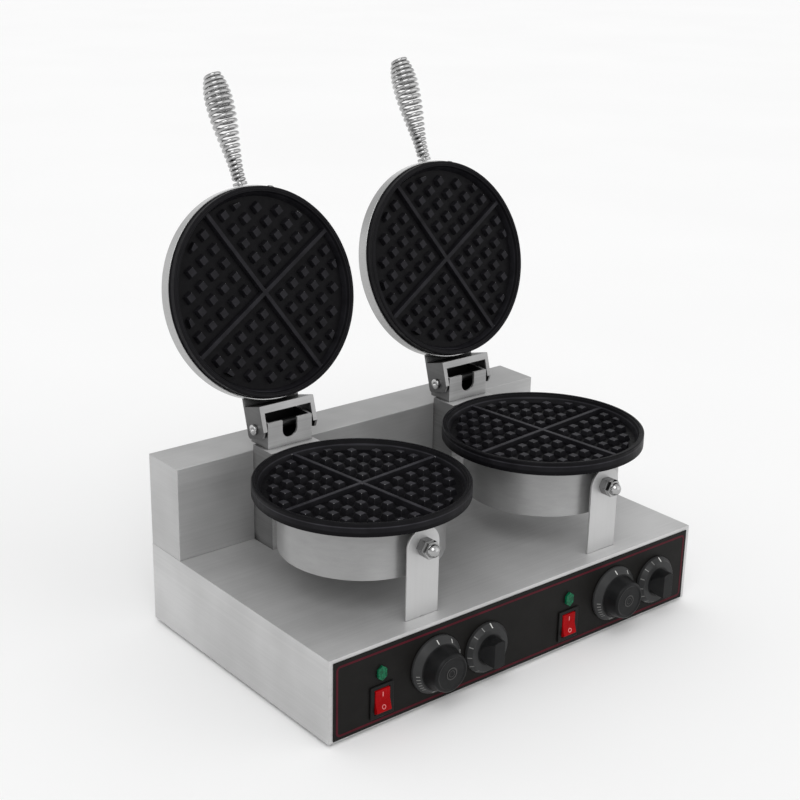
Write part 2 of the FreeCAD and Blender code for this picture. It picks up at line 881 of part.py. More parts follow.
def support_strap(side):
    """A flat upright with a round top, and two tabs that pass the deck and fold back under it."""
    x = head_x(side)
    wide = S.strap_width / 2
    y = (strap_front, strap_front + S.strap_thick)
    under = deck - S.casing_sheet
    upright = block((x - wide, x + wide), y, (under - S.strap_thick, bolt_level))
    crown = rod(wide, "y", (x, strap_front, bolt_level), S.strap_thick)
    foot = block((x - wide, x + wide), (strap_front, strap_front + S.strap_foot),
                 (under - S.strap_thick, under))
    bridge = block((x - S.strap_bridge / 2, x + S.strap_bridge / 2),
                   (strap_front - PAST, strap_front + S.strap_foot + PAST),
                   (under - S.strap_thick - PAST, deck + S.strap_slot_gap))
    return cut(fuse(upright, crown, foot), bridge, wall_hole(side, strap_front - PAST, strap_front + PAST))


def bolt(x, head_y_start, tip_y):
    """A drum bolt along Y: a round head inside the drum and a shank out to the tip."""
    outward = 1 if tip_y.value > head_y_start.value else -1
    length = outward * (tip_y - head_y_start)
    corners = [(0, 0), (S.bolt_radius, 0), (S.bolt_radius, length), (S.bolt_head_radius, length),
               (S.bolt_head_radius, length + S.bolt_head), (0, length + S.bolt_head)]
    return place(revolved(corners), (x, tip_y, bolt_level), (outward, 0, 0), sized(90))


def front_nut_face():
    return strap_front - S.nut_height


def drum_bolts():
    bolts = []
    for side in SIDES.values():
        inner = S.drum_radius - S.drum_sheet - S.head_seat_gap
        bolts.append(bolt(head_x(side), head_y - inner, front_nut_face() - S.cap_bore + S.bolt_gap))
        bolts.append(bolt(head_x(side), head_y + inner, rear_nut_end() + S.bolt_gap))
    return group(bolts)


def rear_nut_end():
    return block_front + S.block_sheet + S.nut_height


def drum_spacers():
    tubes = []
    for side in SIDES.values():
        spans = [(strap_front + S.strap_thick, drum_front - S.spacer_gap),
                 (drum_back + S.spacer_gap, block_front)]
        for low, high in spans:
            outer = rod(S.spacer_radius, "y", (head_x(side), low, bolt_level), high - low)
            tubes.append(cut(outer, wall_hole(side, low - PAST, high + PAST)))
    return group(tubes)


def hex_nut(axis, at):
    thread = S.bolt_radius + S.bolt_fit
    return cut(prism(S.nut_flats, axis, at, S.nut_height), rod(thread, axis, at, S.nut_height))


def hex_nuts():
    nuts = []
    for side in SIDES.values():
        x = head_x(side)
        nuts.append(hex_nut("y", (x, front_nut_face(), bolt_level)))
        nuts.append(hex_nut("y", (x, block_front + S.block_sheet, bolt_level)))
        nuts.append(hex_nut("z", (x, head_y, drum_bottom - S.nut_height)))
    return group(nuts)


def cap_nuts():
    """Domed nuts on the ends of the front bolts."""
    thread = S.bolt_radius + S.bolt_fit
    caps = []
    for side in SIDES.values():
        x, y = head_x(side), front_nut_face()
        base = prism(S.nut_flats, "y", (x, y - S.cap_base, bolt_level), S.cap_base)
        dome = doc.addObject("Part::Sphere", "dome")
        bind(dome, "Radius", S.cap_radius)
        place(dome, (x, y - S.cap_base, bolt_level))
        bore = rod(thread, "y", (x, y - S.cap_bore, bolt_level), S.cap_bore + PAST)
        trim = block((x - S.nut_flats, x + S.nut_flats), (y, y + 2 * S.cap_radius),
                     (bolt_level - S.nut_flats, bolt_level + S.nut_flats))
        caps.append(cut(fuse(base, dome), bore, trim))
    return group(caps)


def head_studs():
    """Shouldered studs that hold the drum, the clamp disc and the lower plate together."""
    low = -S.nut_height - S.bolt_gap
    seat = S.drum_sheet
    shoulder = rim_top - clamp_depth - drum_bottom
    top = shoulder + S.clamp_thick + S.stud_grip
    corners = [(0, low), (S.bolt_radius, low), (S.bolt_radius, seat), (S.stud_shoulder_radius, seat),
               (S.stud_shoulder_radius, shoulder), (S.bolt_radius, shoulder), (S.bolt_radius, top), (0, top)]
    return group(place(revolved(corners), (head_x(side), head_y, drum_bottom)) for side in SIDES.values())


# Hinges

def bracket_screw_places(side):
    x = head_x(side)
    return [(x + across * S.bracket_screw_spread / 2, axis_y - S.bracket_screw_setback) for across in (-1, 1)]


def bracket_screw_holes(side):
    start = block_top - S.block_sheet - PAST
    length = S.block_sheet + S.bracket_sheet + 2 * PAST
    return [rod(S.screw_radius + S.screw_gap, "z", (*at, start), length) for at in bracket_screw_places(side)]


def hinge_block(side):
    x = head_x(side)
    wide = S.block_width / 2
    outer = block((x - wide, x + wide), (block_front, rear_front), (deck, block_top))
    room = block((x - wide + S.block_sheet, x + wide - S.block_sheet),
                 (block_front + S.block_sheet, rear_front - S.block_sheet),
                 (deck - PAST, block_top - S.block_sheet))
    bolt_way = wall_hole(side, block_front - PAST, block_front + S.block_sheet + PAST)
    return cut(outer, room, bolt_way, *bracket_screw_holes(side))


def hinge_bracket(side):
    """An open-topped box: notched front, low sides for the pin, and a taller back that stops the lid."""
    x = head_x(side)
    wide, sheet_thick = S.bracket_width / 2, S.bracket_sheet
    face, rear = axis_y - S.bracket_front, axis_y + S.stop_reach
    top = axis_z + S.bracket_rise
    stop = (S.ledge_reach - S.stop_gap - S.stop_reach * lean_sine) / lean_cosine
    shell = block((x - wide, x + wide), (face, rear), (block_top, top))
    room = block((x - wide + sheet_thick, x + wide - sheet_thick), (face + sheet_thick, rear - sheet_thick),
                 (block_top + sheet_thick, top + PAST))
    backstop = block((x - wide, x + wide), (rear - sheet_thick, rear), (block_top, axis_z + stop))
    slot = S.notch_width / 2
    notch_low = axis_z - S.notch_drop + slot
    notch = block((x - slot, x + slot), (face - PAST, face + sheet_thick + PAST), (notch_low, top + PAST))
    notch_end = rod(slot, "y", (x, face - PAST, notch_low), sheet_thick + 2 * PAST)
    bore = rod(S.pin_radius + S.pin_fit, "x", (x - wide - PAST, axis_y, axis_z), S.bracket_width + 2 * PAST)
    return cut(fuse(cut(shell, room), backstop), notch, notch_end, bore, *bracket_screw_holes(side))


def bracket_screws():
    under = block_top - S.block_sheet - S.screw_end
    seat = block_top + S.bracket_sheet
    corners = [(0, 0), (S.screw_radius, 0), (S.screw_radius, seat - under), (S.screw_head_radius, seat - under),
               (S.screw_head_radius, seat - under + S.screw_head), (0, seat - under + S.screw_head)]
    places = [at for side in SIDES.values() for at in bracket_screw_places(side)]
    return group(place(revolved(corners), (*at, under)) for at in places)


def hinge_pin(side):
    """A pin along X with a round head at each end, outside the yoke."""
    reach = S.yoke_width / 2 + S.washer_gap
    end = reach + S.pin_head
    corners = [
        (0, -end + S.pin_socket),
        (S.pin_socket_radius, -end + S.pin_socket),
        (S.pin_socket_radius, -end),
        (S.pin_head_radius, -end),
        (S.pin_head_radius, -reach),
        (S.pin_radius, -reach),
        (S.pin_radius, reach),
        (S.pin_head_radius, reach),
        (S.pin_head_radius, end),
        (S.pin_socket_radius, end),
        (S.pin_socket_radius, end - S.pin_socket),
        (0, end - S.pin_socket),
    ]
    return place(revolved(corners), (head_x(side), axis_y, axis_z), (0, 1, 0), sized(90))


def hinge_washers():
    """Rings that fill the gap between the bracket's sides and the yoke's flanges."""
    bore = S.pin_radius + S.pin_fit
    near = S.bracket_width / 2
    far = S.yoke_width / 2 - S.yoke_sheet - S.washer_gap
    rings = []
    for side in SIDES.values():
        for low, high in ((-far, -near), (near, far)):
            start = (head_x(side) + low, axis_y, axis_z)
            outer = rod(S.washer_radius, "x", start, high - low)
            rings.append(cut(outer, rod(bore, "x", start, high - low)))
    return group(rings)


# Lids

def cover_shell():
    """The steel cover behind a lid's plate, with a hole for the centre bolt and one for the handle."""
    hole = S.bolt_radius + S.bolt_gap
    inner_round = S.cover_round - S.cover_sheet
    inner_back = cover_depth - S.cover_sheet
    shell = revolved([
        (hole, -cover_depth),
        (cover_radius - S.cover_round, -cover_depth),
        (cover_radius, -cover_depth + S.cover_round),
        (cover_radius, -S.cover_lip),
        (cover_inner, -S.cover_lip),
        (cover_inner, -inner_back + inner_round),
        (cover_inner - inner_round, -inner_back),
        (hole, -inner_back),
    ])
    sink = 2 * PAST
    start = (0, cover_radius - sink * cosine(S.handle_tilt), -handle_level() + sink * sine(S.handle_tilt))
    way = doc.addObject("Part::Cylinder", "way")
    bind(way, "Radius", S.stud_radius + S.bolt_gap)
    bind(way, "Height", 2 * sink)
    place(way, start, (-1, 0, 0), 90 + S.handle_tilt)
    rivet_ways = [rod(S.rivet_radius + S.screw_gap, "z", (x, y, -cover_depth - PAST), S.cover_sheet + 2 * PAST)
                  for x, y in rivet_places()]
    return cut(shell, way, *rivet_ways)


def handle_level():
    """How far behind the lid's face the handle leaves the cover: its root clears the plate's band."""
    return S.band_height + S.stud_radius + S.handle_clear


def rivet_places():
    """Rivets through the arm, in the plate frame, where Y runs out along the lid from its centre."""
    x = S.rivet_spread / 2
    return [(across * x, reach - S.hinge_reach) for across in (-1, 1) for reach in (S.rivet_near, S.rivet_far)]


def lid_fasteners():
    """Rivets that hold the arm on the cover, and the bolt that holds the plate in it."""
    outside = -(cover_depth + S.yoke_sheet)
    inside = -(cover_depth - S.cover_sheet)
    rivet = [(0, outside - S.rivet_head), (S.rivet_head_radius, outside - S.rivet_head),
             (S.rivet_head_radius, outside), (S.rivet_radius, outside), (S.rivet_radius, inside),
             (S.rivet_head_radius, inside), (S.rivet_head_radius, inside + S.rivet_head),
             (0, inside + S.rivet_head)]
    items = [place(revolved(rivet), (*at, 0)) for at in rivet_places()]
    low, seat, top = -(cover_depth + S.bolt_head), -cover_depth, -(boss_depth - S.stud_grip)
    items.append(revolved([(0, low), (S.bolt_head_radius, low), (S.bolt_head_radius, seat),
                           (S.bolt_radius, seat), (S.bolt_radius, top), (0, top)]))
    return group(items)


def hinge_yoke():
    """A folded channel: two flanges on the pin, a framed front, a ledge and an arm behind the cover."""
    wide = S.yoke_width / 2
    inner = wide - S.yoke_sheet
    ledge_top = S.ledge_reach + S.yoke_sheet
    arm_back = cover_back + S.yoke_sheet
    profile = [
        (-S.web_reach, ledge_top),
        (-S.web_reach, -S.yoke_toe),
        (-S.yoke_chin, -S.yoke_drop),
        (S.yoke_heel, -S.yoke_drop),
        (arm_back, S.yoke_heel_rise),
        (arm_back, ledge_top),
    ]
    flanges = [extruded("YZ_Plane", profile, low, high) for low, high in ((-wide, -inner), (inner, wide))]
    ledge = block((-wide, wide), (-S.web_reach, arm_back), (S.ledge_reach, ledge_top))
    web = block((-wide, wide), (-S.web_reach, -S.web_reach + S.yoke_sheet), (-S.yoke_toe, ledge_top))
    side = inner - S.web_side
    window = block((-side, side), (-S.web_reach - PAST, -S.web_reach + S.yoke_sheet + PAST),
                   (-S.yoke_toe - PAST, S.ledge_reach - S.web_bar))
    tip = S.arm_tip / 2
    arm = extruded("XZ_Plane", [(-wide, S.ledge_reach), (wide, S.ledge_reach), (wide, S.rivet_near),
                                (tip, S.arm_reach), (-tip, S.arm_reach), (-wide, S.rivet_near)],
                   cover_back, arm_back)
    bore = rod(S.pin_radius + S.pin_fit, "x", (-wide - PAST, 0, 0), S.yoke_width + 2 * PAST)
    rivet_ways = [rod(S.rivet_radius + S.screw_gap, "y", (x, cover_back - PAST, y + S.hinge_reach),
                      S.yoke_sheet + 2 * PAST) for x, y in rivet_places()]
    return cut(fuse(*flanges, ledge, cut(web, window), arm), bore, *rivet_ways)


# Spring handles: Z runs out along the handle from the cover

def on_handle(item, side):
    at = lid_point(S.hinge_reach + cover_radius, S.hinge_rise - handle_level())
    return place(item, (head_x(side), *at), (-1, 0, 0), S.lid_lean + S.handle_tilt)


def handle_stud():
    seat = S.handle_seat
    collar_top = seat + S.collar_height
    return revolved([(0, -S.stud_root), (S.stud_radius, -S.stud_root), (S.stud_radius, seat),
                     (S.collar_radius, seat), (S.collar_radius, collar_top), (S.stud_radius, collar_top),
                     (S.stud_radius, collar_top + S.stud_reach), (0, collar_top + S.stud_reach)])


def coil_radius(share):
    """Radius of the wire's middle, from the base (0) to the top (1) of the handle."""
    wire = S.coil_wire.value
    base, widest, top = [(size.value - wire) / 2 for size in (S.coil_base, S.coil_widest, S.coil_top)]
    if share < COIL_WIDEST_AT:
        return base + (widest - base) * (1 - math.cos(math.pi * share / COIL_WIDEST_AT)) / 2
    return widest - (widest - top) * ((share - COIL_WIDEST_AT) / (1 - COIL_WIDEST_AT)) ** 2


def coil_point(share, start):
    angle = 2 * math.pi * COIL_TURNS * share
    rise = (S.coil_length.value - start) * (share - COIL_PITCH_SWELL * math.sin(2 * math.pi * share) / (2 * math.pi))
    radius = coil_radius(share)
    return Vector(radius * math.cos(angle), radius * math.sin(angle), start + rise)


def coil_tangent(share, start):
    step = 1e-5
    low, high = max(share - step, 0.0), min(share + step, 1.0)
    return (coil_point(high, start) - coil_point(low, start)).normalize()


def tangent_arc(first, corner, last):
    """The arc from first to last whose end tangents meet in corner."""
    weight = first.distanceToPoint(last) / (2 * first.distanceToPoint(corner))
    middle = (first + corner * (2 * weight) + last) * (1 / (2 + 2 * weight))
    return Part.Arc(first, middle, last).toShape()


def biarc(first, first_way, last, last_way):
    """Two arcs that leave first and reach last along the given ways."""
    span = last - first
    ways = first_way + last_way
    bend = 2 * (1 - first_way.dot(last_way))
    along = span.dot(ways)
    leg = (math.sqrt(along * along + bend * span.dot(span)) - along) / bend
    near, far = first + first_way * leg, last - last_way * leg
    middle = (near + far) * 0.5
    return [tangent_arc(first, near, middle), tangent_arc(middle, far, last)]


def coil_path():
    """A leg out of the collar, a bend, the turns, and a straight end."""
    wire, bend = S.coil_wire.value, S.coil_leg_bend.value
    foot = S.handle_seat.value + S.collar_height.value
    start = foot + wire + bend
    first = coil_point(0, start)
    way = coil_tangent(0, start)
    up = Vector(0, 0, 1)
    half_turn = math.acos(way.dot(up)) / 2
    corner = first - way * (bend * math.tan(half_turn))
    leg_top = corner - up * (bend * math.tan(half_turn))
    edges = [Part.LineSegment(Vector(leg_top.x, leg_top.y, foot), leg_top).toShape(),
             tangent_arc(leg_top, corner, first)]
    steps = 2 * COIL_TURNS
    for step in range(steps):
        shares = (step / steps, (step + 1) / steps)
        ends = [(coil_point(share, start), coil_tangent(share, start)) for share in shares]
        edges += biarc(*ends[0], *ends[1])
    last, last_way = coil_point(1, start), coil_tangent(1, start)
    edges.append(Part.LineSegment(last, last + last_way * wire).toShape())
    return edges


def least_gap(edges):
    """The least distance between two turns of the wire's skin, measured on points along the path."""
    wire = S.coil_wire.value
    points = [point for one in edges for point in one.discretize(Number=13)[:-1]]
    run = [0.0]
    for first, second in zip(points, points[1:]):
        run.append(run[-1] + first.distanceToPoint(second))
    apart = 4 * wire
    gaps = [points[i].distanceToPoint(points[j]) for i in range(len(points))
            for j in range(i + 1, len(points)) if run[j] - run[i] > apart]
    return min(gaps) - wire


def handle_coil():
    edges = coil_path()
    radius = S.coil_wire.value / 2
    start = edges[0].Vertexes[0].Point
    profile = Part.Wire(Part.makeCircle(radius, start, Vector(0, 0, 1)))
    tube = Part.Wire(edges).makePipeShell([profile], True, False)
    length = sum(one.Length for one in edges)
    print("coil gap to itself", round(least_gap(edges), 3),
          "volume share", round(tube.Volume / (math.pi * radius ** 2 * length), 4))
    coil = doc.addObject("Part::Feature", "coil")
    coil.Shape = tube
    return coil


# The assembly

openings = [tool for side in SIDES.values() for tool in front_openings(side)]
node("base_casing", base_casing(openings))
node("rear_housing", rear_housing())
node("bottom_plate", bottom_plate())
node("casing_screws", casing_screws())
node("rubber_feet", rubber_feet())
node("control_panel", control_panel(openings))
node("cord_gland", cord_gland())
node("terminal_block", terminal_block())
node("timers", group(control_unit(S.timer_offset, S.timer_level, S.timer_case, S.timer_case_depth, side)
                     for side in SIDES.values()))
node("thermostats", group(control_unit(S.thermostat_offset, S.thermostat_level, S.thermostat_case,
                                       S.thermostat_case_depth, side) for side in SIDES.values()))
node("lower_clamps", group(on_head(clamp_disc(), side) for side in SIDES.values()))
node("head_studs", head_studs())
node("drum_bolts", drum_bolts())
node("drum_spacers", drum_spacers())
node("hex_nuts", hex_nuts())
node("cap_nuts", cap_nuts())
node("bracket_screws", bracket_screws())
node("hinge_washers", hinge_washers())
for name, side in SIDES.items():
    node(f"{name}_switch_frame", switch_frame(side))
    node(f"{name}_rocker", rocker(side))
    node(f"{name}_lamp_lens", lamp_lens(side))
    node(f"{name}_timer_knob", timer_knob(side))
    node(f"{name}_thermostat_knob", thermostat_knob(side))
    node(f"{name}_drum", drum(side))
    node(f"{name}_support_strap", support_strap(side))
    node(f"{name}_lower_plate", on_head(baking_plate(S.lower_turn), side))
    node(f"{name}_lower_element", on_head(element(), side))
    node(f"{name}_hinge_block", hinge_block(side))
    node(f"{name}_hinge_bracket", hinge_bracket(side))
    node(f"{name}_hinge_pin", hinge_pin(side))
    node(f"{name}_hinge_yoke", on_hinge(hinge_yoke(), side))
    node(f"{name}_lid_cover", on_lid(cover_shell(), side))
    node(f"{name}_lid_plate", on_lid(baking_plate(S.lid_turn), side))
    node(f"{name}_lid_element", on_lid(element(), side))
    node(f"{name}_lid_clamp", on_lid(clamp_disc(), side))
    node(f"{name}_lid_fasteners", on_lid(lid_fasteners(), side))
    node(f"{name}_handle_stud", on_handle(handle_stud(), side))
    node(f"{name}_handle_coil", on_handle(handle_coil(), side))

doc.recompute()

for item in doc.Objects:
    if "Invalid" in item.State or "Error" in item.State:
        raise RuntimeError(f"{item.Label} failed to build: {item.State}")
for label, item in nodes.items():
    if item.Label != label:
        raise RuntimeError(f"{label} shares its name with another object")
    if item.Shape.isNull() or not item.Shape.isValid() or not item.Shape.Solids:
        raise RuntimeError(f"{label} has no valid solid")

os.makedirs("parts", exist_ok=True)
for label, item in nodes.items():
    item.Shape.exportStep(f"parts/{label}.step")
print(len(nodes), "nodes written")
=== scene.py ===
import json
import math

import bmesh
import bpy
from mathutils import Matrix, Vector


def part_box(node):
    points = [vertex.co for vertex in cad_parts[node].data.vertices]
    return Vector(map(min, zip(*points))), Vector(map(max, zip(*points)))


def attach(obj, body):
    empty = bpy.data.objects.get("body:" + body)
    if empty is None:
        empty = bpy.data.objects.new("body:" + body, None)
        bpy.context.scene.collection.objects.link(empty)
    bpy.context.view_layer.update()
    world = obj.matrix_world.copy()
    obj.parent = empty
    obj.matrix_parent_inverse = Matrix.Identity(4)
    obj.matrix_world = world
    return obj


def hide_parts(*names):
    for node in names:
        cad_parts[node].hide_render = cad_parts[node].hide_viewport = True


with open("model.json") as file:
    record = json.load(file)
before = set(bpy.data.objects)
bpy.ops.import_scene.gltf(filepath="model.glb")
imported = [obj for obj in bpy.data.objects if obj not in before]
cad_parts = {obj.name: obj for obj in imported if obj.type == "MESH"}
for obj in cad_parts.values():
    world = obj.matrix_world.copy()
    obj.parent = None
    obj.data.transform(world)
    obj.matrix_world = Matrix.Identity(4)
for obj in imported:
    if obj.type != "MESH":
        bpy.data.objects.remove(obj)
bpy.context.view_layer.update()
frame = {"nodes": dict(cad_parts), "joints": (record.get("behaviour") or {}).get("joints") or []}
scene = bpy.context.scene
nodes = frame["nodes"]
joints = {joint["name"]: joint for joint in frame["joints"]}

# Dressing of the twin round waffle maker. Lengths are in metres, and MM turns millimetres into them.
MM = 0.001
SIDES = ("left", "right")
RIGHT = Vector((1, 0, 0))
FRONT = Vector((0, -1, 0))
BACK = Vector((0, 1, 0))
UP = Vector((0, 0, 1))

casing_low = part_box("base_casing")[0]
panel_low, panel_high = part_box("control_panel")
# The left lid's hinge pin, which the right one mirrors
hinge_at = Vector(joints["left_lid_hinge"]["pos_m"])

# The lids at rest: how far they lean back, the way their plates face and the way from hinge to handle
LID_LEAN = math.radians(16.0)
lid_facing = Vector((0, -math.cos(LID_LEAN), math.sin(LID_LEAN)))
lid_out = Vector((0, math.sin(LID_LEAN), math.cos(LID_LEAN)))
# From a hinge pin to the middle of its lid's rim, along the lid and along the way it faces
HINGE_REACH = 133.5 * MM
HINGE_RISE = 15.0 * MM
# A lid's cover and the flat on its back, and the sheet of a hinge bracket
COVER_RADIUS = 107.6 * MM
COVER_FLAT_RADIUS = 101.5 * MM
BRACKET_SHEET = 2.5 * MM

# The wells of the plates, and the turns of the lower plates' and the lids' grids, in degrees
WELL_DEPTH = 10.0 * MM
PEG_HEIGHT = 5.5 * MM
LOWER_TURN = 6.0
LID_TURN = 31.3
lower_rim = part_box("left_lower_plate")[1].z
lid_rim = hinge_at.dot(lid_facing) + HINGE_RISE


def knob_axis(name):
    """The middle of a knob's back face."""
    low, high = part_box(name)
    return Vector(((low.x + high.x) / 2, high.y, (low.z + high.z) / 2))


def peg_corner(out, facing, turn):
    """The way in which one top corner of every peg looks, between outward and the plate's facing."""
    angle = math.radians(turn + 45)
    return (RIGHT * math.cos(angle) + out * math.sin(angle) + facing).normalized()


# Node trees

def add_node(tree, kind, inputs=None, **settings):
    """A node; an input that is a socket is linked, anything else is set."""
    made = tree.nodes.new(kind)
    for name, value in settings.items():
        setattr(made, name, value)
    for socket, value in (inputs or {}).items():
        if isinstance(value, bpy.types.NodeSocket):
            tree.links.new(value, made.inputs[socket])
        else:
            made.inputs[socket].default_value = value
    return made


def new_material(name, **constants):
    """A material, its tree and its main shader, with the constant sockets set."""
    made = bpy.data.materials.new(name)
    made.use_nodes = True
    shader = made.node_tree.nodes["Principled BSDF"]
    for socket, value in constants.items():
        shader.inputs[socket.replace("_", " ")].default_value = value
    return made, made.node_tree, shader


def grey(level):
    """A colour without a hue."""
    return (level, level, level)


def object_space(tree):
    """A point in the object's own space."""
    return add_node(tree, "ShaderNodeTexCoord").outputs["Object"]


def coordinate(tree, vector, axis):
    """One coordinate of a vector."""
    return add_node(tree, "ShaderNodeSeparateXYZ", {"Vector": vector}).outputs[axis]


def combine(tree, operation, *values):
    """One value worked out from others."""
    return add_node(tree, "ShaderNodeMath", dict(enumerate(values)), operation=operation).outputs["Value"]


def blend(tree, first, second, share):
    """Two values in one, the second by its share."""
    return combine(tree, "MULTIPLY_ADD", first, 1 - share, combine(tree, "MULTIPLY", second, share))


def along(tree, vector, way):
    """How far a vector reaches along a way."""
    reach = add_node(tree, "ShaderNodeVectorMath", {0: vector, 1: way}, operation="DOT_PRODUCT")
    return reach.outputs["Value"]


def length(tree, vector):
    """The length of a vector."""
    return add_node(tree, "ShaderNodeVectorMath", {0: vector}, operation="LENGTH").outputs["Value"]


def noise(tree, scale, detail=4.0, roughness=0.55, stretch=(1, 1, 1)):
    """Noise in the object's own space, drawn out where the stretch is small."""
    spread = add_node(tree, "ShaderNodeMapping", {"Vector": object_space(tree), "Scale": stretch})
    field = add_node(tree, "ShaderNodeTexNoise", {
        "Vector": spread.outputs["Vector"], "Scale": scale, "Detail": detail, "Roughness": roughness})
    return field.outputs["Fac"]


def spread_to(tree, value, low, high, start=0.3, end=0.7):
    """A value spread over a range."""
    made = add_node(tree, "ShaderNodeMapRange", {
        "Value": value, "From Min": start, "From Max": end, "To Min": low, "To Max": high})
    return made.outputs["Result"]


def colour_ramp(tree, value, stops):
    """Colours at places along a value."""
    ramp = add_node(tree, "ShaderNodeValToRGB", {"Fac": value})
    for index, (place, colour) in enumerate(stops):
        stop = ramp.color_ramp.elements[index] if index < 2 else ramp.color_ramp.elements.new(place)
        stop.position = place
        stop.color = (*colour, 1.0)
    return ramp.outputs["Color"]


def tint(tree, value, dark, light, start=0.3, end=0.7):
    """A colour between two, by a value."""
    return colour_ramp(tree, value, ((start, dark), (end, light)))


def level_ramp(tree, value, stops):
    """Grey levels at places along a value."""
    return colour_ramp(tree, value, [(place, grey(level)) for place, level in stops])


def choose(tree, mask, where_not, where):
    """One of two values, by a mask."""
    picked = add_node(tree, "ShaderNodeMix", {"Factor": mask, "A": where_not, "B": where})
    return picked.outputs["Result"]


def bump(tree, shader, value, depth, strength):
    """Fine relief on a shader."""
    made = add_node(tree, "ShaderNodeBump", {"Height": value, "Distance": depth, "Strength": strength})
    tree.links.new(made.outputs["Normal"], shader.inputs["Normal"])


def surface_normal(tree):
    """The normal of the surface as it is."""
    return add_node(tree, "ShaderNodeNewGeometry").outputs["Normal"]


def rounded_normal(tree, radius):
    """The normal of the surface as if its edges were rounded."""
    return add_node(tree, "ShaderNodeBevel", {"Radius": radius}, samples=6).outputs["Normal"]


def side_wall(tree):
    """1 on faces that look along X and 0 on the others."""
    across = combine(tree, "ABSOLUTE", coordinate(tree, surface_normal(tree), "X"))
    least = 0.7
    return combine(tree, "GREATER_THAN", across, least)


def edge_highlight_and_wear(tree, radius):
    """1 along edges, falling to 0 a radius away from them."""
    evenness = along(tree, rounded_normal(tree, radius), surface_normal(tree))
    return spread_to(tree, evenness, 1.0, 0.0, start=0.80, end=0.99)


def glint_corner(tree, radius, way):
    """1 on the rounded corners that look a given way."""
    likeness = along(tree, rounded_normal(tree, radius), way)
    return spread_to(tree, likeness, 0.0, 1.0, start=0.90, end=0.97)


def beside_head(tree):
    """How far a point lies to either side of the middle of its own head."""
    from_middle = combine(tree, "ABSOLUTE", coordinate(tree, object_space(tree), "X"))
    return combine(tree, "ABSOLUTE", combine(tree, "SUBTRACT", from_middle, abs(hinge_at.x)))


def in_bracket(tree):
    """1 on the inner faces of a hinge bracket, where the deepest shade is painted."""
    low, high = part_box("left_hinge_bracket")
    margin = 0.1 * MM
    wall = BRACKET_SHEET - margin
    depth = coordinate(tree, object_space(tree), "Y")
    between_walls = combine(tree, "LESS_THAN", beside_head(tree), (high.x - low.x) / 2 - wall)
    behind_front = combine(tree, "GREATER_THAN", depth, low.y + wall)
    before_back = combine(tree, "LESS_THAN", depth, high.y - margin)
    return combine(tree, "MULTIPLY", between_walls, combine(tree, "MULTIPLY", behind_front, before_back))


# Materials. Colours and levels are linear, noise scales are in cells per metre, and a finish is the
# roughness of the smoothest and of the roughest spots.

# Noise drawn out along an axis gives the lines of brushing, and flattened noise the bands round a drum
ALONG_X = (3, 420, 420)
ALONG_Y = (420, 3, 420)
ALONG_Z = (420, 420, 3)
ROUND_DRUM = (40, 40, 160)
# Cells of the grain that moulded pieces share
GRAIN_SCALE = 900.0
# The part of the noise over which a sheet goes from dark to light, plain and with painted shade
TONE_RANGE = (0.39, 0.61)
SHADED_RANGE = (0.04, 0.64)
# Depths of fine relief
BRUSH_DEPTH = 0.02 * MM
MARK_DEPTH = 0.01 * MM
PEBBLE_DEPTH = 0.05 * MM
GRAIN_DEPTH = 0.03 * MM
PRISM_DEPTH = 0.15 * MM
# Reaches of painted shade in recesses, of painted highlight and wear along edges, of the painted glint on
# corners, of the lightening over pegs, and of a skirt's edge
SHADE_REACH = 14 * MM
EDGE_HIGHLIGHT_AND_WEAR = 0.8 * MM
GLINT_RADIUS = 0.9 * MM
OVER_PEG_MARGIN = 2.5 * MM
SKIRT_FADE = 1.0 * MM
# How far the painted lightening of pegs and edges, with some wear, goes; 1 is the pale of the painted glint
MOST_LIGHTENED = 0.62


def brush_lines(tree, lines):
    """Fine lines in a sheet."""
    return noise(tree, scale=1.0, detail=5, roughness=0.7, stretch=lines)


def brushed_steel(name, dark, light, finish, metallic, lines=ALONG_X, side_lines=ALONG_Y, painted_shade=False,
                  deep_shade=None):
    """Stainless sheet: fine brushing that follows the sheet, cloudy patches and faint smears. With painted
    shade, a sheet is darker in its recesses and on its side walls, and darkest where a deep-shade mask is
    1."""
    made, tree, shader = new_material(name, Metallic=metallic, Specular_IOR_Level=0.3)
    brush = choose(tree, side_wall(tree), brush_lines(tree, lines), brush_lines(tree, side_lines))
    cloud = noise(tree, scale=7.0, detail=3)
    smear = noise(tree, scale=38.0, detail=6, roughness=0.6)
    tone = blend(tree, cloud, brush, share=0.26)
    # Painted shade: darker in recesses and on the faces that look along X
    if painted_shade:
        occlusion = add_node(tree, "ShaderNodeAmbientOcclusion", {"Distance": SHADE_REACH}, samples=8)
        recess_shade = spread_to(tree, occlusion.outputs["AO"], 0.08, 1.0, start=0.30, end=0.66)
        wall_shade = spread_to(tree, side_wall(tree), 1.0, 0.42, start=0.0, end=1.0)
        tone = combine(tree, "MULTIPLY", tone, combine(tree, "MULTIPLY", recess_shade, wall_shade))
    # The deepest painted shade, where the mask is 1
    if deep_shade:
        unshaded = spread_to(tree, deep_shade(tree), 1.0, 0.06, start=0.0, end=1.0)
        tone = combine(tree, "MULTIPLY", tone, unshaded)
    colour = tint(tree, tone, grey(dark), grey(light), *(SHADED_RANGE if painted_shade else TONE_RANGE))
    tree.links.new(colour, shader.inputs["Base Color"])
    worn = blend(tree, smear, brush, share=0.6)
    tree.links.new(spread_to(tree, worn, *finish), shader.inputs["Roughness"])
    bump(tree, shader, brush, BRUSH_DEPTH, strength=0.25)
    return made


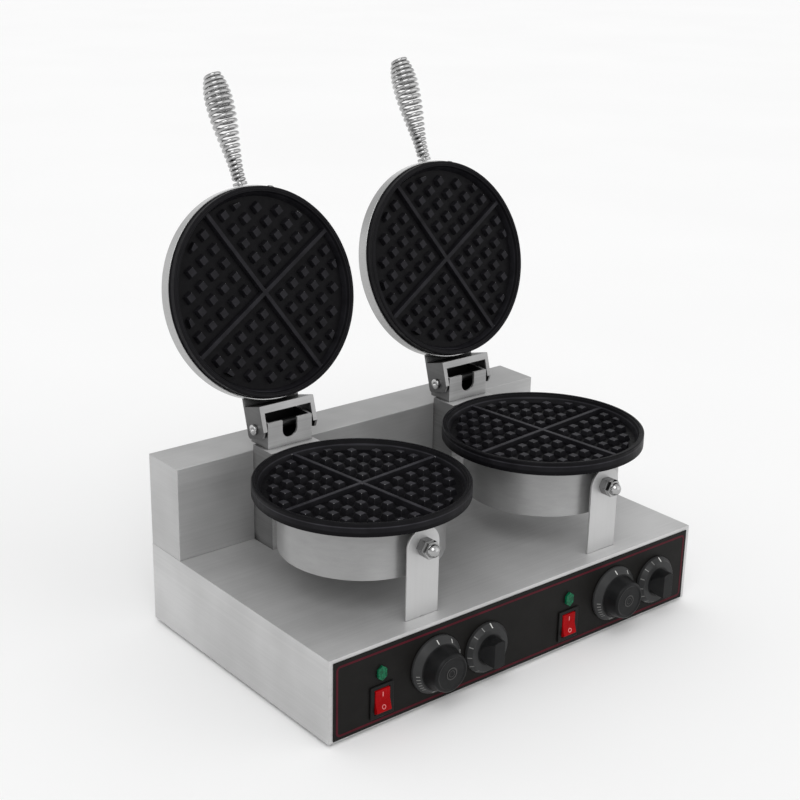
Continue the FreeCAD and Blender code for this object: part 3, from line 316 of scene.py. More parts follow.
def turned_steel(name, dark, light, finish):
    """Polished sheet with cloudy patches, and fine rings round the axis of a lid on its flat."""
    made, tree, shader = new_material(name, Metallic=0.9, Specular_IOR_Level=0.3)
    up_lid = along(tree, object_space(tree), lid_out)
    above = combine(tree, "SUBTRACT", up_lid, hinge_at.dot(lid_out) + HINGE_REACH)
    from_axis = add_node(tree, "ShaderNodeCombineXYZ", {"X": beside_head(tree), "Y": above})
    radius = length(tree, from_axis.outputs["Vector"])
    turning = add_node(tree, "ShaderNodeTexNoise", {"W": radius, "Scale": 450.0, "Detail": 2.0},
                       noise_dimensions="1D").outputs["Fac"]
    rings = combine(tree, "MULTIPLY", turning, combine(tree, "LESS_THAN", radius, COVER_FLAT_RADIUS))
    tone = blend(tree, noise(tree, scale=9.0, detail=3), rings, share=0.20)
    colour = tint(tree, tone, grey(dark), grey(light), *TONE_RANGE)
    tree.links.new(colour, shader.inputs["Base Color"])
    tree.links.new(spread_to(tree, rings, *finish), shader.inputs["Roughness"])
    bump(tree, shader, rings, BRUSH_DEPTH, strength=0.08)
    return made


def handling_marks(tree):
    """Fine marks from handling."""
    return noise(tree, scale=160.0, detail=6, roughness=0.65)


def plated(name, bright, dull, finish):
    """Bright plating with light handling marks."""
    made, tree, shader = new_material(name, Metallic=1.0)
    marks = handling_marks(tree)
    cloud = noise(tree, scale=30.0, detail=3)
    tree.links.new(tint(tree, cloud, dull, bright), shader.inputs["Base Color"])
    tree.links.new(spread_to(tree, marks, *finish), shader.inputs["Roughness"])
    bump(tree, shader, marks, MARK_DEPTH, strength=0.25)
    return made


def shaded_pin(name, shaded_reach):
    """A plated pin, painted dark for shade out to a distance from the middle of its head, and bright past
    it.
    """
    made, tree, shader = new_material(name, Metallic=1.0)
    marks = handling_marks(tree)
    # Painted shade on the pin's middle, inside the hinge
    unshaded = combine(tree, "GREATER_THAN", beside_head(tree), shaded_reach)
    cloud = spread_to(tree, noise(tree, scale=30.0, detail=3), 0.7, 1.0)
    shade = combine(tree, "MULTIPLY", unshaded, cloud)
    colour = tint(tree, shade, grey(0.05), grey(0.62), start=0.0, end=1.0)
    tree.links.new(colour, shader.inputs["Base Color"])
    polish = combine(tree, "MULTIPLY", unshaded, 0.34)
    rough = combine(tree, "SUBTRACT", spread_to(tree, marks, 0.42, 0.56), polish)
    tree.links.new(rough, shader.inputs["Roughness"])
    bump(tree, shader, marks, MARK_DEPTH, strength=0.25)
    return made


def coating(name, plate_facing, rim, corner, top_lightening):
    """Baked non-stick coating: near black and finely pebbled. Painted light with patchy wear makes it
    greyer on the pegs' sides and tops and along the tops' edges, and a painted glint lies on the corners
    that face one way."""
    made, tree, shader = new_material(name, IOR=1.46, Specular_IOR_Level=0.08)
    well_floor = rim - WELL_DEPTH
    over_pegs = well_floor + PEG_HEIGHT + OVER_PEG_MARGIN
    height = along(tree, object_space(tree), plate_facing)
    # From 0 on the well's floor to 1 over the pegs, whose tops are near 0.69
    rise = spread_to(tree, height, 0.0, 1.0, start=well_floor, end=over_pegs)
    # Painted light with patchy wear: lighter than the floor on the pegs' sides, against the shade between
    # them, on their tops as if lit, and a little on the rim
    lightened = level_ramp(tree, rise, (
        (0.0, 0.0), (0.10, 0.22), (0.60, 0.22), (0.66, top_lightening), (0.74, top_lightening), (0.80, 0.10)))
    patchy_lightening = combine(tree, "MULTIPLY", lightened, noise(tree, scale=60.0, detail=5))
    # Painted highlight and wear along the pegs' top edges
    edge_rise = spread_to(tree, rise, 0.0, 0.34, start=0.55, end=0.70)
    edge = combine(tree, "MULTIPLY", edge_highlight_and_wear(tree, EDGE_HIGHLIGHT_AND_WEAR), edge_rise)
    # A painted glint on the pegs' rounded corners that face one way
    on_peg = level_ramp(tree, rise, ((0.45, 0.0), (0.60, 1.0), (0.74, 1.0), (0.80, 0.0)))
    glint = combine(tree, "MULTIPLY", glint_corner(tree, GLINT_RADIUS, corner), on_peg)
    capped_lightening = combine(tree, "MINIMUM", combine(tree, "ADD", patchy_lightening, edge), MOST_LIGHTENED)
    total_lightening = combine(tree, "MAXIMUM", capped_lightening, glint)
    # Near black, grey where lightened, and the pale of the painted glint
    colour = colour_ramp(tree, total_lightening, (
        (0.03, (0.0036, 0.0034, 0.0042)), (MOST_LIGHTENED, (0.042, 0.041, 0.048)), (0.98, grey(0.42))))
    tree.links.new(colour, shader.inputs["Base Color"])
    mottle = noise(tree, scale=240.0, detail=4)
    tree.links.new(spread_to(tree, mottle, 0.36, 0.52), shader.inputs["Roughness"])
    bump(tree, shader, noise(tree, scale=1500.0, detail=3), PEBBLE_DEPTH, strength=0.3)
    return made


def moulded(name, dark, light, finish, grain=GRAIN_SCALE, depth=GRAIN_DEPTH, **constants):
    """Moulded plastic or rubber with a spark-eroded grain."""
    made, tree, shader = new_material(name, **constants)
    grain_field = noise(tree, grain, detail=3)
    tree.links.new(tint(tree, noise(tree, scale=55.0), dark, light), shader.inputs["Base Color"])
    tree.links.new(spread_to(tree, grain_field, *finish), shader.inputs["Roughness"])
    bump(tree, shader, grain_field, depth, strength=0.35)
    return made


def knob_plastic(node, plain_radius):
    """Dark moulded plastic, paler outside a radius round the knob's axis, on its skirt: a painted sheen."""
    made, tree, shader = new_material(node, Specular_IOR_Level=0.15)
    from_back = add_node(tree, "ShaderNodeVectorMath", {0: object_space(tree), 1: knob_axis(node)},
                         operation="SUBTRACT").outputs["Vector"]
    from_axis = add_node(tree, "ShaderNodeVectorMath", {0: from_back, 1: RIGHT + UP},
                         operation="MULTIPLY").outputs["Vector"]
    # Painted sheen: the skirt paler outside the plain radius
    lightened = spread_to(tree, length(tree, from_axis), 0.0, 0.6, plain_radius, plain_radius + SKIRT_FADE)
    shade = combine(tree, "ADD", lightened, combine(tree, "MULTIPLY", noise(tree, scale=55.0), 0.4))
    colour = tint(tree, shade, (0.0036, 0.0038, 0.0042), (0.035, 0.0355, 0.036), start=0.12, end=0.85)
    tree.links.new(colour, shader.inputs["Base Color"])
    grain = noise(tree, GRAIN_SCALE, detail=3)
    tree.links.new(spread_to(tree, grain, 0.32, 0.46), shader.inputs["Roughness"])
    bump(tree, shader, grain, GRAIN_DEPTH, strength=0.35)
    return made


def lens_plastic(name):
    """A lamp lens: clear deep colour with a prism pattern."""
    made, tree, shader = new_material(name, IOR=1.5, Specular_IOR_Level=0.12, Coat_Weight=0.1,
                                      Coat_Roughness=0.08)
    cells = add_node(tree, "ShaderNodeTexVoronoi", {"Vector": object_space(tree), "Scale": 420.0},
                     feature="F1").outputs["Distance"]
    colour = tint(tree, cells, (0.004, 0.140, 0.060), (0.002, 0.060, 0.027), start=0.1, end=0.75)
    tree.links.new(colour, shader.inputs["Base Color"])
    tree.links.new(spread_to(tree, noise(tree, scale=300.0), 0.14, 0.26), shader.inputs["Roughness"])
    bump(tree, shader, cells, PRISM_DEPTH, strength=0.4)
    return made


casing_steel = brushed_steel("casing_steel", 0.46, 0.60, (0.36, 0.56), metallic=0.44)
housing_steel = brushed_steel("housing_steel", 0.40, 0.52, (0.36, 0.56), metallic=0.60)
drum_steel = brushed_steel("drum_steel", 0.29, 0.38, (0.26, 0.42), metallic=0.60,
                           lines=ROUND_DRUM, side_lines=ROUND_DRUM)
strap_steel = brushed_steel("strap_steel", 0.50, 0.56, (0.40, 0.50), metallic=0.75,
                            lines=ALONG_Z, side_lines=ALONG_Z)
# Hinge yokes, blocks and brackets get painted shade in recesses and on side walls, and the brackets' inner
# faces are painted near black for shade
hinge_steel = brushed_steel("hinge_steel", 0.012, 0.46, (0.36, 0.50), metallic=0.75, painted_shade=True)
bracket_steel = brushed_steel("bracket_steel", 0.010, 0.66, (0.36, 0.50), metallic=0.35, painted_shade=True,
                              deep_shade=in_bracket)
block_steel = brushed_steel("block_steel", 0.020, 0.66, (0.40, 0.52), metallic=0.35, painted_shade=True)
cover_steel = turned_steel("cover_steel", 0.43, 0.51, (0.22, 0.33))
bright_metal = plated("bright_metal", grey(0.46), grey(0.34), (0.08, 0.18))
nut_metal = plated("nut_metal", grey(0.26), grey(0.14), (0.12, 0.24))
plain_metal = plated("plain_metal", grey(0.52), (0.38, 0.38, 0.385), (0.28, 0.44))
handle_wire = plated("handle_wire", grey(0.52), grey(0.34), (0.06, 0.14))
element_tube = plated("element_tube", (0.20, 0.19, 0.185), (0.10, 0.095, 0.09), (0.45, 0.62))
# The pin is painted dark for shade out to this distance from the middle of its head
pin_metal = shaded_pin("pin_metal", shaded_reach=30.0 * MM)
# Each coating gets the peg corner that carries its painted glint, and how pale its pegs' tops are painted
lower_coating = coating("lower_coating", UP, lower_rim, peg_corner(BACK, UP, LOWER_TURN + 180), 0.80)
lid_coating = coating("lid_coating", lid_facing, lid_rim, peg_corner(lid_out, lid_facing, LID_TURN), 0.38)
panel_black = moulded("panel_black", (0.0064, 0.0060, 0.0056), (0.0090, 0.0084, 0.0078), (0.40, 0.52),
                      grain=700.0, depth=0.015 * MM, Specular_IOR_Level=0.10)
border_red = moulded("border_red", (0.050, 0.004, 0.009), (0.074, 0.006, 0.013), (0.42, 0.54),
                     Specular_IOR_Level=0.1)
switch_plastic = moulded("switch_plastic", (0.0035, 0.0034, 0.0033), (0.0060, 0.0058, 0.0056), (0.34, 0.46),
                         Specular_IOR_Level=0.16)
control_plastic = moulded("control_plastic", grey(0.020), (0.032, 0.031, 0.030), (0.42, 0.58))
rocker_red = moulded("rocker_red", (0.25, 0.002, 0.003), (0.32, 0.003, 0.005), (0.20, 0.32),
                     grain=500.0, depth=0.01 * MM, Specular_IOR_Level=0.05)
mark_white = moulded("mark_white", (0.52, 0.52, 0.50), (0.66, 0.66, 0.64), (0.45, 0.6))
mark_grey = moulded("mark_grey", (0.15, 0.15, 0.145), (0.24, 0.24, 0.235), (0.45, 0.6))
mark_pink = moulded("mark_pink", (0.58, 0.15, 0.15), (0.70, 0.26, 0.25), (0.45, 0.6))
foot_rubber = moulded("foot_rubber", grey(0.012), (0.022, 0.022, 0.021), (0.62, 0.82),
                      grain=600.0, depth=0.06 * MM)
lamp_green = lens_plastic("lamp_green")

SHARED_MATERIALS = {
    "base_casing": casing_steel,
    "rear_housing": housing_steel,
    "bottom_plate": plain_metal,
    "casing_screws": plain_metal,
    "rubber_feet": foot_rubber,
    "control_panel": panel_black,
    "cord_gland": control_plastic,
    "terminal_block": control_plastic,
    "timers": control_plastic,
    "thermostats": control_plastic,
    "lower_clamps": plain_metal,
    "head_studs": plain_metal,
    "drum_bolts": plain_metal,
    "drum_spacers": plain_metal,
    "hex_nuts": nut_metal,
    "cap_nuts": bright_metal,
    "bracket_screws": plain_metal,
    "hinge_washers": plain_metal,
}
SIDE_MATERIALS = {
    "switch_frame": switch_plastic,
    "rocker": rocker_red,
    "lamp_lens": lamp_green,
    "drum": drum_steel,
    "support_strap": strap_steel,
    "lower_plate": lower_coating,
    "lower_element": element_tube,
    "hinge_block": block_steel,
    "hinge_bracket": bracket_steel,
    "hinge_pin": pin_metal,
    "hinge_yoke": hinge_steel,
    "lid_cover": cover_steel,
    "lid_plate": lid_coating,
    "lid_element": element_tube,
    "lid_clamp": plain_metal,
    "lid_fasteners": plain_metal,
    "handle_stud": handle_wire,
    "handle_coil": handle_wire,
}
# How far from its axis each kind of knob is plain, inside its skirt's painted sheen
PLAIN_KNOB_RADII = {"timer_knob": 22.8 * MM, "thermostat_knob": 15.5 * MM}
# Rounding of the edges, in millimetres; nodes that aren't named keep their own edges
SHARED_EDGES = {
    "base_casing": 0.7, "rear_housing": 0.7, "control_panel": 0.25, "hex_nuts": 0.5, "cap_nuts": 0.5,
    "cord_gland": 0.4, "rubber_feet": 0.6, "bottom_plate": 0.3, "casing_screws": 0.3,
}
SIDE_EDGES = {
    "switch_frame": 0.6, "rocker": 0.5, "lamp_lens": 1.6, "timer_knob": 0.5, "thermostat_knob": 0.6,
    "support_strap": 0.4, "lower_plate": 0.35, "hinge_block": 0.6, "hinge_bracket": 0.5, "hinge_pin": 0.5,
    "hinge_yoke": 0.5, "lid_cover": 0.3, "lid_plate": 0.35, "handle_stud": 0.6, "drum": 0.3,
    "lid_fasteners": 0.5,
}
SHARP_ANGLE = math.radians(28)
FLAT_ANGLE = math.radians(0.05)
WELD_DISTANCE = 0.002 * MM


def smooth_group():
    """Geometry nodes that weld the mesh and shade it smooth, except over sharp edges."""
    tree = bpy.data.node_groups.new("smooth_by_edge", "GeometryNodeTree")
    tree.interface.new_socket("Geometry", in_out="INPUT", socket_type="NodeSocketGeometry")
    tree.interface.new_socket("Geometry", in_out="OUTPUT", socket_type="NodeSocketGeometry")
    start = add_node(tree, "NodeGroupInput").outputs["Geometry"]
    bare = add_node(tree, "GeometryNodeRemoveAttribute", {"Geometry": start, "Name": "custom_normal"})
    welded = add_node(tree, "GeometryNodeMergeByDistance",
                      {"Geometry": bare.outputs["Geometry"], "Distance": WELD_DISTANCE})
    faces = add_node(tree, "GeometryNodeSetShadeSmooth",
                     {"Geometry": welded.outputs["Geometry"], "Shade Smooth": True}, domain="FACE")
    angle = add_node(tree, "GeometryNodeInputMeshEdgeAngle").outputs["Unsigned Angle"]
    sharp = add_node(tree, "FunctionNodeCompare", {"A": angle, "B": SHARP_ANGLE},
                     data_type="FLOAT", operation="GREATER_THAN").outputs["Result"]
    edges = add_node(tree, "GeometryNodeSetShadeSmooth",
                     {"Geometry": faces.outputs["Geometry"], "Selection": sharp, "Shade Smooth": False},
                     domain="EDGE")
    add_node(tree, "NodeGroupOutput", {"Geometry": edges.outputs["Geometry"]})
    return tree


smoothing = smooth_group()


def dress(name, material, edge):
    """Give a CAD node its material, and round its edges."""
    item = nodes[name]
    item.data.materials.clear()
    item.data.materials.append(material)
    item.modifiers.new("smooth", "NODES").node_group = smoothing
    if edge:
        whole = item.modifiers.new("whole_faces", "DECIMATE")
        whole.decimate_type = "DISSOLVE"
        whole.angle_limit = FLAT_ANGLE
        rounding = item.modifiers.new("edges", "BEVEL")
        rounding.width = edge * MM
        rounding.segments = 2
        rounding.limit_method = "ANGLE"
        rounding.angle_limit = SHARP_ANGLE
        flat = item.modifiers.new("flat_faces", "WEIGHTED_NORMAL")
        flat.weight = 100
        flat.keep_sharp = True


for name, material in SHARED_MATERIALS.items():
    dress(name, material, SHARED_EDGES.get(name))
for side in SIDES:
    for name, material in SIDE_MATERIALS.items():
        dress(f"{side}_{name}", material, SIDE_EDGES.get(name))
    for name, plain_radius in PLAIN_KNOB_RADII.items():
        knob = f"{side}_{name}"
        dress(knob, knob_plastic(knob, plain_radius), SIDE_EDGES[name])


# New pieces

def new_piece(name, shape, material, body):
    """A mesh object from a finished bmesh, riding on a body."""
    bmesh.ops.recalc_face_normals(shape, faces=shape.faces)
    mesh = bpy.data.meshes.new(name)
    shape.to_mesh(mesh)
    shape.free()
    mesh.materials.append(material)
    piece = bpy.data.objects.new(name, mesh)
    scene.collection.objects.link(piece)
    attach(piece, body)
    return piece


def add_band(shape, first, second):
    """Faces between two closed rows of corners."""
    count = len(first)
    for index in range(count):
        after = (index + 1) % count
        shape.faces.new((first[index], first[after], second[after], second[index]))


def add_rows(shape, loops):
    """Corners for each of several outlines."""
    return [[shape.verts.new(point) for point in loop] for loop in loops]


def add_stack(shape, loops):
    """A closed solid through outlines with as many corners, capped at both ends."""
    rows = add_rows(shape, loops)
    for first, second in zip(rows, rows[1:]):
        add_band(shape, first, second)
    shape.faces.new(rows[0])
    shape.faces.new(rows[-1])


def add_ring(shape, outer, inner, sunk, proud):
    """A closed flat ring between two outlines, from a sunk level to a proud one."""
    levels = ((outer, sunk), (outer, proud), (inner, proud), (inner, sunk))
    rows = add_rows(shape, [[point + level for point in loop] for loop, level in levels])
    for first, second in zip(rows, rows[1:] + rows[:1]):
        add_band(shape, first, second)


def rounded_box(centre, across, up, wide, tall, corner, steps=8):
    """Points round a rectangle with round corners, in the plane of two directions."""
    points = []
    for turn, (across_way, up_way) in enumerate(((1, 1), (-1, 1), (-1, -1), (1, -1))):
        for step in range(steps + 1):
            angle = math.pi / 2 * (turn + step / steps)
            x = across_way * (wide / 2 - corner) + corner * math.cos(angle)
            y = up_way * (tall / 2 - corner) + corner * math.sin(angle)
            points.append(centre + across * x + up * y)
    return points


def circle(centre, across, up, radius, steps=40):
    """Points round a circle, in the plane of two directions."""
    angles = [2 * math.pi * step / steps for step in range(steps)]
    return [centre + across * (radius * math.cos(angle)) + up * (radius * math.sin(angle))
            for angle in angles]


# The panel's border: how far it lies inside the panel's edges, and its own sizes
BORDER_SIDE = 2.8 * MM
BORDER_LOW = 3.1 * MM
BORDER_HIGH = 4.0 * MM
BORDER_LINE = 2.2 * MM
BORDER_CORNER = 5.0 * MM
BORDER_SUNK = 0.2 * MM
BORDER_PROUD = 0.12 * MM


def panel_border():
    """The printed line round the panel's face."""
    low, high = panel_low.z + BORDER_LOW, panel_high.z - BORDER_HIGH
    wide, tall = panel_high.x - panel_low.x - 2 * BORDER_SIDE, high - low
    centre = Vector((0, panel_low.y, (low + high) / 2))
    outer = rounded_box(centre, RIGHT, UP, wide, tall, BORDER_CORNER)
    inner = rounded_box(centre, RIGHT, UP, wide - 2 * BORDER_LINE, tall - 2 * BORDER_LINE,
                        BORDER_CORNER - BORDER_LINE)
    shape = bmesh.new()
    add_ring(shape, outer, inner, BACK * BORDER_SUNK, FRONT * BORDER_PROUD)
    new_piece("panel_border", shape, border_red, "base")


# Marks on the rockers: the crease of a rocker lies before its pivot, and the marks beside the crease
ROCKER_CREASE = 4.8 * MM
SWITCH_MARK_REACH = 6.4 * MM
SWITCH_MARK_SUNK = 0.2 * MM
SWITCH_MARK_PROUD = 0.1 * MM
BAR_WIDE = 0.9 * MM
BAR_TALL = 4.8 * MM
BAR_CORNER = 0.3 * MM
BAR_CORNER_STEPS = 3
RING_OUTER = 2.3 * MM
RING_INNER = 1.6 * MM


def switch_marks(side):
    """A bar on the upper half of a rocker and a ring on the lower half."""
    joint = joints[f"{side}_rocker_pivot"]
    tilt = math.radians(joint["range_deg"][1] / 2)
    rest_turn = Matrix.Rotation(-tilt, 3, "X")
    crease = Vector(joint["pos_m"]) + rest_turn @ (FRONT * ROCKER_CREASE)
    for label, way in (("bar", 1), ("ring", -1)):
        up = rest_turn @ Vector((0, -math.sin(tilt), way * math.cos(tilt)))
        out = rest_turn @ Vector((0, -math.cos(tilt), -way * math.sin(tilt)))
        centre = crease + up * SWITCH_MARK_REACH
        sunk, proud = -out * SWITCH_MARK_SUNK, out * SWITCH_MARK_PROUD
        shape = bmesh.new()
        if label == "bar":
            outline = rounded_box(centre, RIGHT, up, BAR_WIDE, BAR_TALL, BAR_CORNER, BAR_CORNER_STEPS)
            add_stack(shape, [[point + level for point in outline] for level in (sunk, proud)])
        else:
            add_ring(shape, circle(centre, RIGHT, up, RING_OUTER), circle(centre, RIGHT, up, RING_INNER),
                     sunk, proud)
        new_piece(f"{side}_switch_{label}", shape, mark_pink, f"{side}_rocker_body")


# Upper and lower ends of the slopes of the knobs' skirts, as radius and height over the knob's back
SKIRT_SLOPES = {
    "timer": ((24.0 * MM, 8.5 * MM), (29.5 * MM, 2.5 * MM)),
    "thermostat": ((22.5 * MM, 7.5 * MM), (26.0 * MM, 3.0 * MM)),
}
TICK_SUNK = 0.15 * MM
TICK_PROUD = 0.06 * MM
POINTER_ANGLE = 5
# Marks on each knob: name, paint, angles clockwise from the top, share of the slope covered, width
DIAL_MARKS = {
    "timer": (
        ("ticks", mark_white, [40 * step - 6 for step in range(6)], (0.10, 0.66), 1.0 * MM),
        ("fine_ticks", mark_grey, [224 + 8 * step for step in range(6)], (0.15, 0.62), 0.8 * MM),
    ),
    "thermostat": (
        ("pointer", mark_white, [POINTER_ANGLE], (0.02, 0.98), 1.3 * MM),
        ("ticks", mark_grey, [POINTER_ANGLE - 25 * step for step in range(1, 11)], (0.10, 0.90), 0.9 * MM),
    ),
}
# Rings on a timer's cap: the cap's face over the knob's back, and outer and inner radii in millimetres
CAP_FACE = 23.7 * MM
CAP_RINGS = ((6.3, 5.2), (3.4, 2.9))
CAP_RING_SUNK = 0.3 * MM
CAP_RING_PROUD = 0.35 * MM


def add_tick(shape, centre, slope, angle, span, width):
    """A flat bar that lies on a skirt's slope."""
    upper, lower = [Vector(end) for end in slope]
    fall = (lower - upper).normalized()
    lift = Vector((-fall.y, fall.x))
    turn = math.radians(angle)
    out = Vector((math.sin(turn), 0, math.cos(turn)))
    beside = Vector((math.cos(turn), 0, -math.sin(turn)))
    start, end = span
    loops = []
    for rise in (-TICK_SUNK, TICK_PROUD):
        loop = []
        for share, edge in ((start, -1), (end, -1), (end, 1), (start, 1)):
            radius, height = upper + (lower - upper) * share + lift * rise
            loop.append(centre + out * radius + FRONT * height + beside * (edge * width / 2))
        loops.append(loop)
    add_stack(shape, loops)


def dial_marks(side, knob):
    """The printed marks round a knob's skirt."""
    centre = knob_axis(f"{side}_{knob}_knob")
    for label, paint, angles, span, width in DIAL_MARKS[knob]:
        shape = bmesh.new()
        for angle in angles:
            add_tick(shape, centre, SKIRT_SLOPES[knob], angle, span, width)
        new_piece(f"{side}_{knob}_{label}", shape, paint, f"{side}_{knob}_dial")


def cap_rings(side):
    """Two plain rings on a timer's cap."""
    face = knob_axis(f"{side}_timer_knob") + FRONT * CAP_FACE
    shape = bmesh.new()
    for outer, inner in CAP_RINGS:
        add_ring(shape, circle(face, RIGHT, UP, outer * MM), circle(face, RIGHT, UP, inner * MM),
                 BACK * CAP_RING_SUNK, FRONT * CAP_RING_PROUD)
    new_piece(f"{side}_timer_rings", shape, control_plastic, f"{side}_timer_dial")


# Spring handles: the same winding as in the CAD model, drawn finer, and wound on down to the collar
HANDLE_OUT = 241.1 * MM
HANDLE_BEHIND = 2.5 * MM
HANDLE_LEAN = LID_LEAN + math.radians(8.5)
COIL_WIRE = 4.0 * MM
COLLAR_TOP = 3.6 * MM
COIL_START = 11.6 * MM
COIL_END = 115.0 * MM
COIL_BASE = 14.2 * MM
COIL_WIDEST = 29.2 * MM
COIL_TOP = 17.6 * MM
COIL_TURNS = 19
COIL_WIDEST_AT = 0.7
COIL_PITCH_SWELL = 0.18
STEPS_PER_TURN = 44
WIRE_SIDES = 14
# Domes at the wire's ends, as places past the end and sizes, in shares of the wire's radius
WIRE_START_DOME = ((0.25, 0.6),)
WIRE_END_DOME = ((0.3, 0.8), (0.45, 0.35))


def coil_radius(share):
    """Radius of the winding at a share of its length: narrow at the base, wide near the top."""
    base, widest, top = [(width - COIL_WIRE) / 2 for width in (COIL_BASE, COIL_WIDEST, COIL_TOP)]
    if share < COIL_WIDEST_AT:
        return base + (widest - base) * (1 - math.cos(math.pi * share / COIL_WIDEST_AT)) / 2
    return widest - (widest - top) * ((share - COIL_WIDEST_AT) / (1 - COIL_WIDEST_AT)) ** 2


def winding(turns, radius, height):
    """A point of the winding, after a number of turns."""
    angle = 2 * math.pi * turns
    return Vector((radius * math.cos(angle), radius * math.sin(angle), height))


def coil_point(share):
    """A point of the open turns, whose pitch is larger in the middle."""
    swell = COIL_PITCH_SWELL * math.sin(2 * math.pi * share) / (2 * math.pi)
    height = COIL_START + (COIL_END - COIL_START) * (share - swell)
    return winding(COIL_TURNS * share, coil_radius(share), height)


def coil_line():
    """Points along the wire: close turns up from the collar, the open turns, and a short straight end."""
    pitch = (COIL_END - COIL_START) / COIL_TURNS * (1 - COIL_PITCH_SWELL)
    close_steps = round((COIL_START - COLLAR_TOP - COIL_WIRE / 2) / pitch * STEPS_PER_TURN)
    points = []
    for step in range(-close_steps, 0):
        turns = step / STEPS_PER_TURN
        points.append(winding(turns, coil_radius(0), COIL_START + pitch * turns))
    steps = COIL_TURNS * STEPS_PER_TURN
    points += [coil_point(step / steps) for step in range(steps + 1)]
    last_way = (points[-1] - points[-2]).normalized()
    points.append(points[-1] + last_way * COIL_WIRE)
    return points


def add_tube(shape, points, radius, sides):
    """A round wire along points, with domed ends."""
    before, after = [points[0]] + points[:-1], points[1:] + [points[-1]]
    ways = [(end - start).normalized() for start, end in zip(before, after)]
    stations = [(points[0] - ways[0] * radius * past, ways[0], size) for past, size in WIRE_START_DOME]
    stations += [(point, way, 1.0) for point, way in zip(points, ways)]
    stations += [(points[-1] + ways[-1] * radius * past, ways[-1], size) for past, size in WIRE_END_DOME]
    side = ways[0].orthogonal().normalized()
    loops = []
    for point, way, size in stations:
        side = (side - way * side.dot(way)).normalized()
        loops.append(circle(point, side, way.cross(side), radius * size, sides))
    add_stack(shape, loops)
    for face in shape.faces:
        face.smooth = True


def handle_place(side):
    """Where a handle stands: its foot on the edge of its lid, and its lean."""
    hinge = Vector(joints[f"{side}_lid_hinge"]["pos_m"])
    foot = hinge + lid_out * HANDLE_OUT - lid_facing * HANDLE_BEHIND
    return Matrix.Translation(foot) @ Matrix.Rotation(-HANDLE_LEAN, 4, "X")


def handle_spring(side):
    """The wire of a handle, in place of the coarser winding."""
    place = handle_place(side)
    shape = bmesh.new()
    add_tube(shape, [place @ point for point in coil_line()], COIL_WIRE / 2, WIRE_SIDES)
    piece = new_piece(f"{side}_handle_spring", shape, handle_wire, f"{side}_lid")
    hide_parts(f"{side}_handle_coil")


# A socket screw in each cover's side: its turn from the handle, and how far it sits behind the hinge pin
RIM_SCREW_TURN = math.radians(18)
RIM_SCREW_BEHIND = 0.5 * MM
RIM_SCREW_SIDES = 24
# Radius and height of its head, from under its seat to the floor of its socket, in millimetres
RIM_SCREW_PROFILE = ((3.4, -0.4), (3.6, 0.3), (3.6, 1.4), (3.0, 2.0), (1.8, 2.0), (1.6, 0.8))


def rim_screw(side):
    """A socket screw in the side of a lid's cover, beside the handle."""
    hinge = Vector(joints[f"{side}_lid_hinge"]["pos_m"])
    out = RIGHT * math.sin(RIM_SCREW_TURN) + lid_out * math.cos(RIM_SCREW_TURN)
    seat = hinge + lid_out * HINGE_REACH + out * COVER_RADIUS - lid_facing * RIM_SCREW_BEHIND
    across = lid_facing.cross(out)
    shape = bmesh.new()
    add_stack(shape, [circle(seat + out * height * MM, lid_facing, across, radius * MM, RIM_SCREW_SIDES)
                      for radius, height in RIM_SCREW_PROFILE])
    new_piece(f"{side}_rim_screw", shape, nut_metal, f"{side}_lid")


panel_border()
for side in SIDES:
    rim_screw(side)
    switch_marks(side)
    dial_marks(side, "timer")
    cap_rings(side)
    dial_marks(side, "thermostat")
    handle_spring(side)


# Studio

# How far the floor reaches to each side, and its cells across
FLOOR_REACH = 14.0
FLOOR_STEPS = 28
# How bright the studio looks at heights from the horizon up, and the light that it gives
STUDIO_GLOW = ((0.0, 1.0), (0.14, 1.0), (0.32, 0.70), (0.62, 0.62), (0.85, 0.80))
STUDIO_LIGHT = 0.74


def floor_paint():
    """Matt pale paint."""
    made, tree, shader = new_material("floor_white", Roughness=0.9, Specular_IOR_Level=0.0)
    cloud = noise(tree, scale=1.5, detail=2)
    tree.links.new(tint(tree, cloud, grey(0.93), grey(0.945)), shader.inputs["Base Color"])
    return made


def studio_floor():
    """A wide flat floor of square cells."""
    places = [FLOOR_REACH * (2 * step / FLOOR_STEPS - 1) for step in range(FLOOR_STEPS + 1)]
    shape = bmesh.new()
    rows = add_rows(shape, [[(x, y, 0) for x in places] for y in places])
    for low, high in zip(rows, rows[1:]):
        for index in range(FLOOR_STEPS):
            shape.faces.new((low[index], low[index + 1], high[index + 1], high[index]))
    mesh = bpy.data.meshes.new("studio_floor")
    shape.to_mesh(mesh)
    shape.free()
    mesh.materials.append(floor_paint())
    floor = bpy.data.objects.new("studio_floor", mesh)
    scene.collection.objects.link(floor)


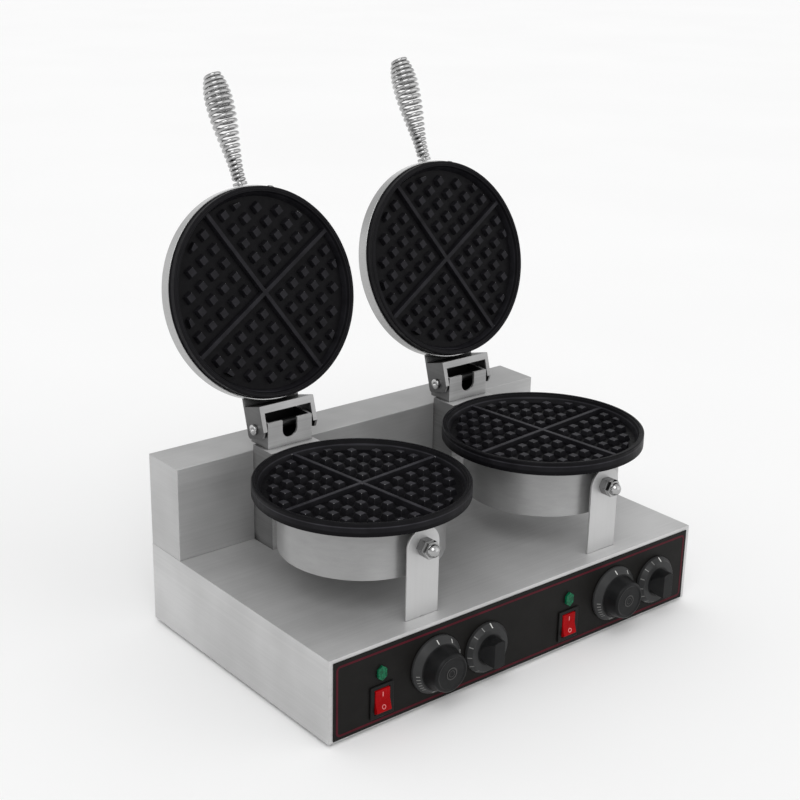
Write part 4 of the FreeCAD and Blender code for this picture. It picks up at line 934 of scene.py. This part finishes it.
def studio_world():
    """Even light from all round; what is seen directly, or in metal, is the white of the studio."""
    world = bpy.data.worlds.new("studio")
    scene.world = world
    world.use_nodes = True
    tree = world.node_tree
    tree.nodes.clear()
    path = add_node(tree, "ShaderNodeLightPath").outputs
    seen = combine(tree, "MAXIMUM", path["Is Camera Ray"], path["Is Glossy Ray"])
    seen = combine(tree, "MAXIMUM", seen, path["Is Transmission Ray"])
    way = add_node(tree, "ShaderNodeTexCoord").outputs["Generated"]
    glow = level_ramp(tree, coordinate(tree, way, "Z"), STUDIO_GLOW)
    lit = add_node(tree, "ShaderNodeBackground", {"Color": (1.0, 1.0, 1.0, 1.0), "Strength": STUDIO_LIGHT})
    shown = add_node(tree, "ShaderNodeBackground", {"Color": glow, "Strength": 1.0})
    mix = add_node(tree, "ShaderNodeMixShader", {0: seen, 1: lit.outputs[0], 2: shown.outputs[0]})
    add_node(tree, "ShaderNodeOutputWorld", {"Surface": mix.outputs[0]})


def sun(name, towards, strength, spread):
    """A wide soft light; towards is the way to the light, and spread its width in degrees."""
    lamp = bpy.data.lights.new(name, "SUN")
    lamp.energy = strength
    lamp.angle = math.radians(spread)
    holder = bpy.data.objects.new(name, lamp)
    holder.rotation_mode = "QUATERNION"
    holder.rotation_quaternion = Vector(towards).to_track_quat("Z", "Y")
    scene.collection.objects.link(holder)


# The camera, placed from the middle of the casing's lower front edge
CAMERA_AT = Vector((-921.9, -919.0, 739.6)) * MM
CAMERA_TARGET = Vector((0.25, 200.46, 220.35)) * MM
CAMERA_ROLL = math.radians(1.143)
FOCAL_PIXELS = 1477.27
PICTURE_PIXELS = 800
SENSOR_WIDTH = 36.0
CLIP_START = 0.05
CLIP_END = 60.0


def make_camera():
    """A camera at the photograph's viewing angle."""
    base = Vector((0, casing_low.y, casing_low.z))
    at = base + CAMERA_AT
    forward = (base + CAMERA_TARGET - at).normalized()
    right = forward.cross(UP).normalized()
    over = right.cross(forward)
    turned_right = right * math.cos(CAMERA_ROLL) + over * math.sin(CAMERA_ROLL)
    turned_over = over * math.cos(CAMERA_ROLL) - right * math.sin(CAMERA_ROLL)
    lens = bpy.data.cameras.new("camera")
    lens.sensor_width = SENSOR_WIDTH
    lens.lens = FOCAL_PIXELS / PICTURE_PIXELS * SENSOR_WIDTH
    lens.clip_start = CLIP_START
    lens.clip_end = CLIP_END
    camera = bpy.data.objects.new("camera", lens)
    turn = Matrix((turned_right, turned_over, -forward)).transposed().to_4x4()
    camera.matrix_world = Matrix.Translation(at) @ turn
    scene.collection.objects.link(camera)
    scene.camera = camera


studio_floor()
studio_world()
sun("key", towards=(-0.45, -0.50, 0.75), strength=0.95, spread=40)
sun("fill", towards=(0.55, -0.75, 0.38), strength=0.50, spread=60)
make_camera()
scene.view_settings.view_transform = "Standard"
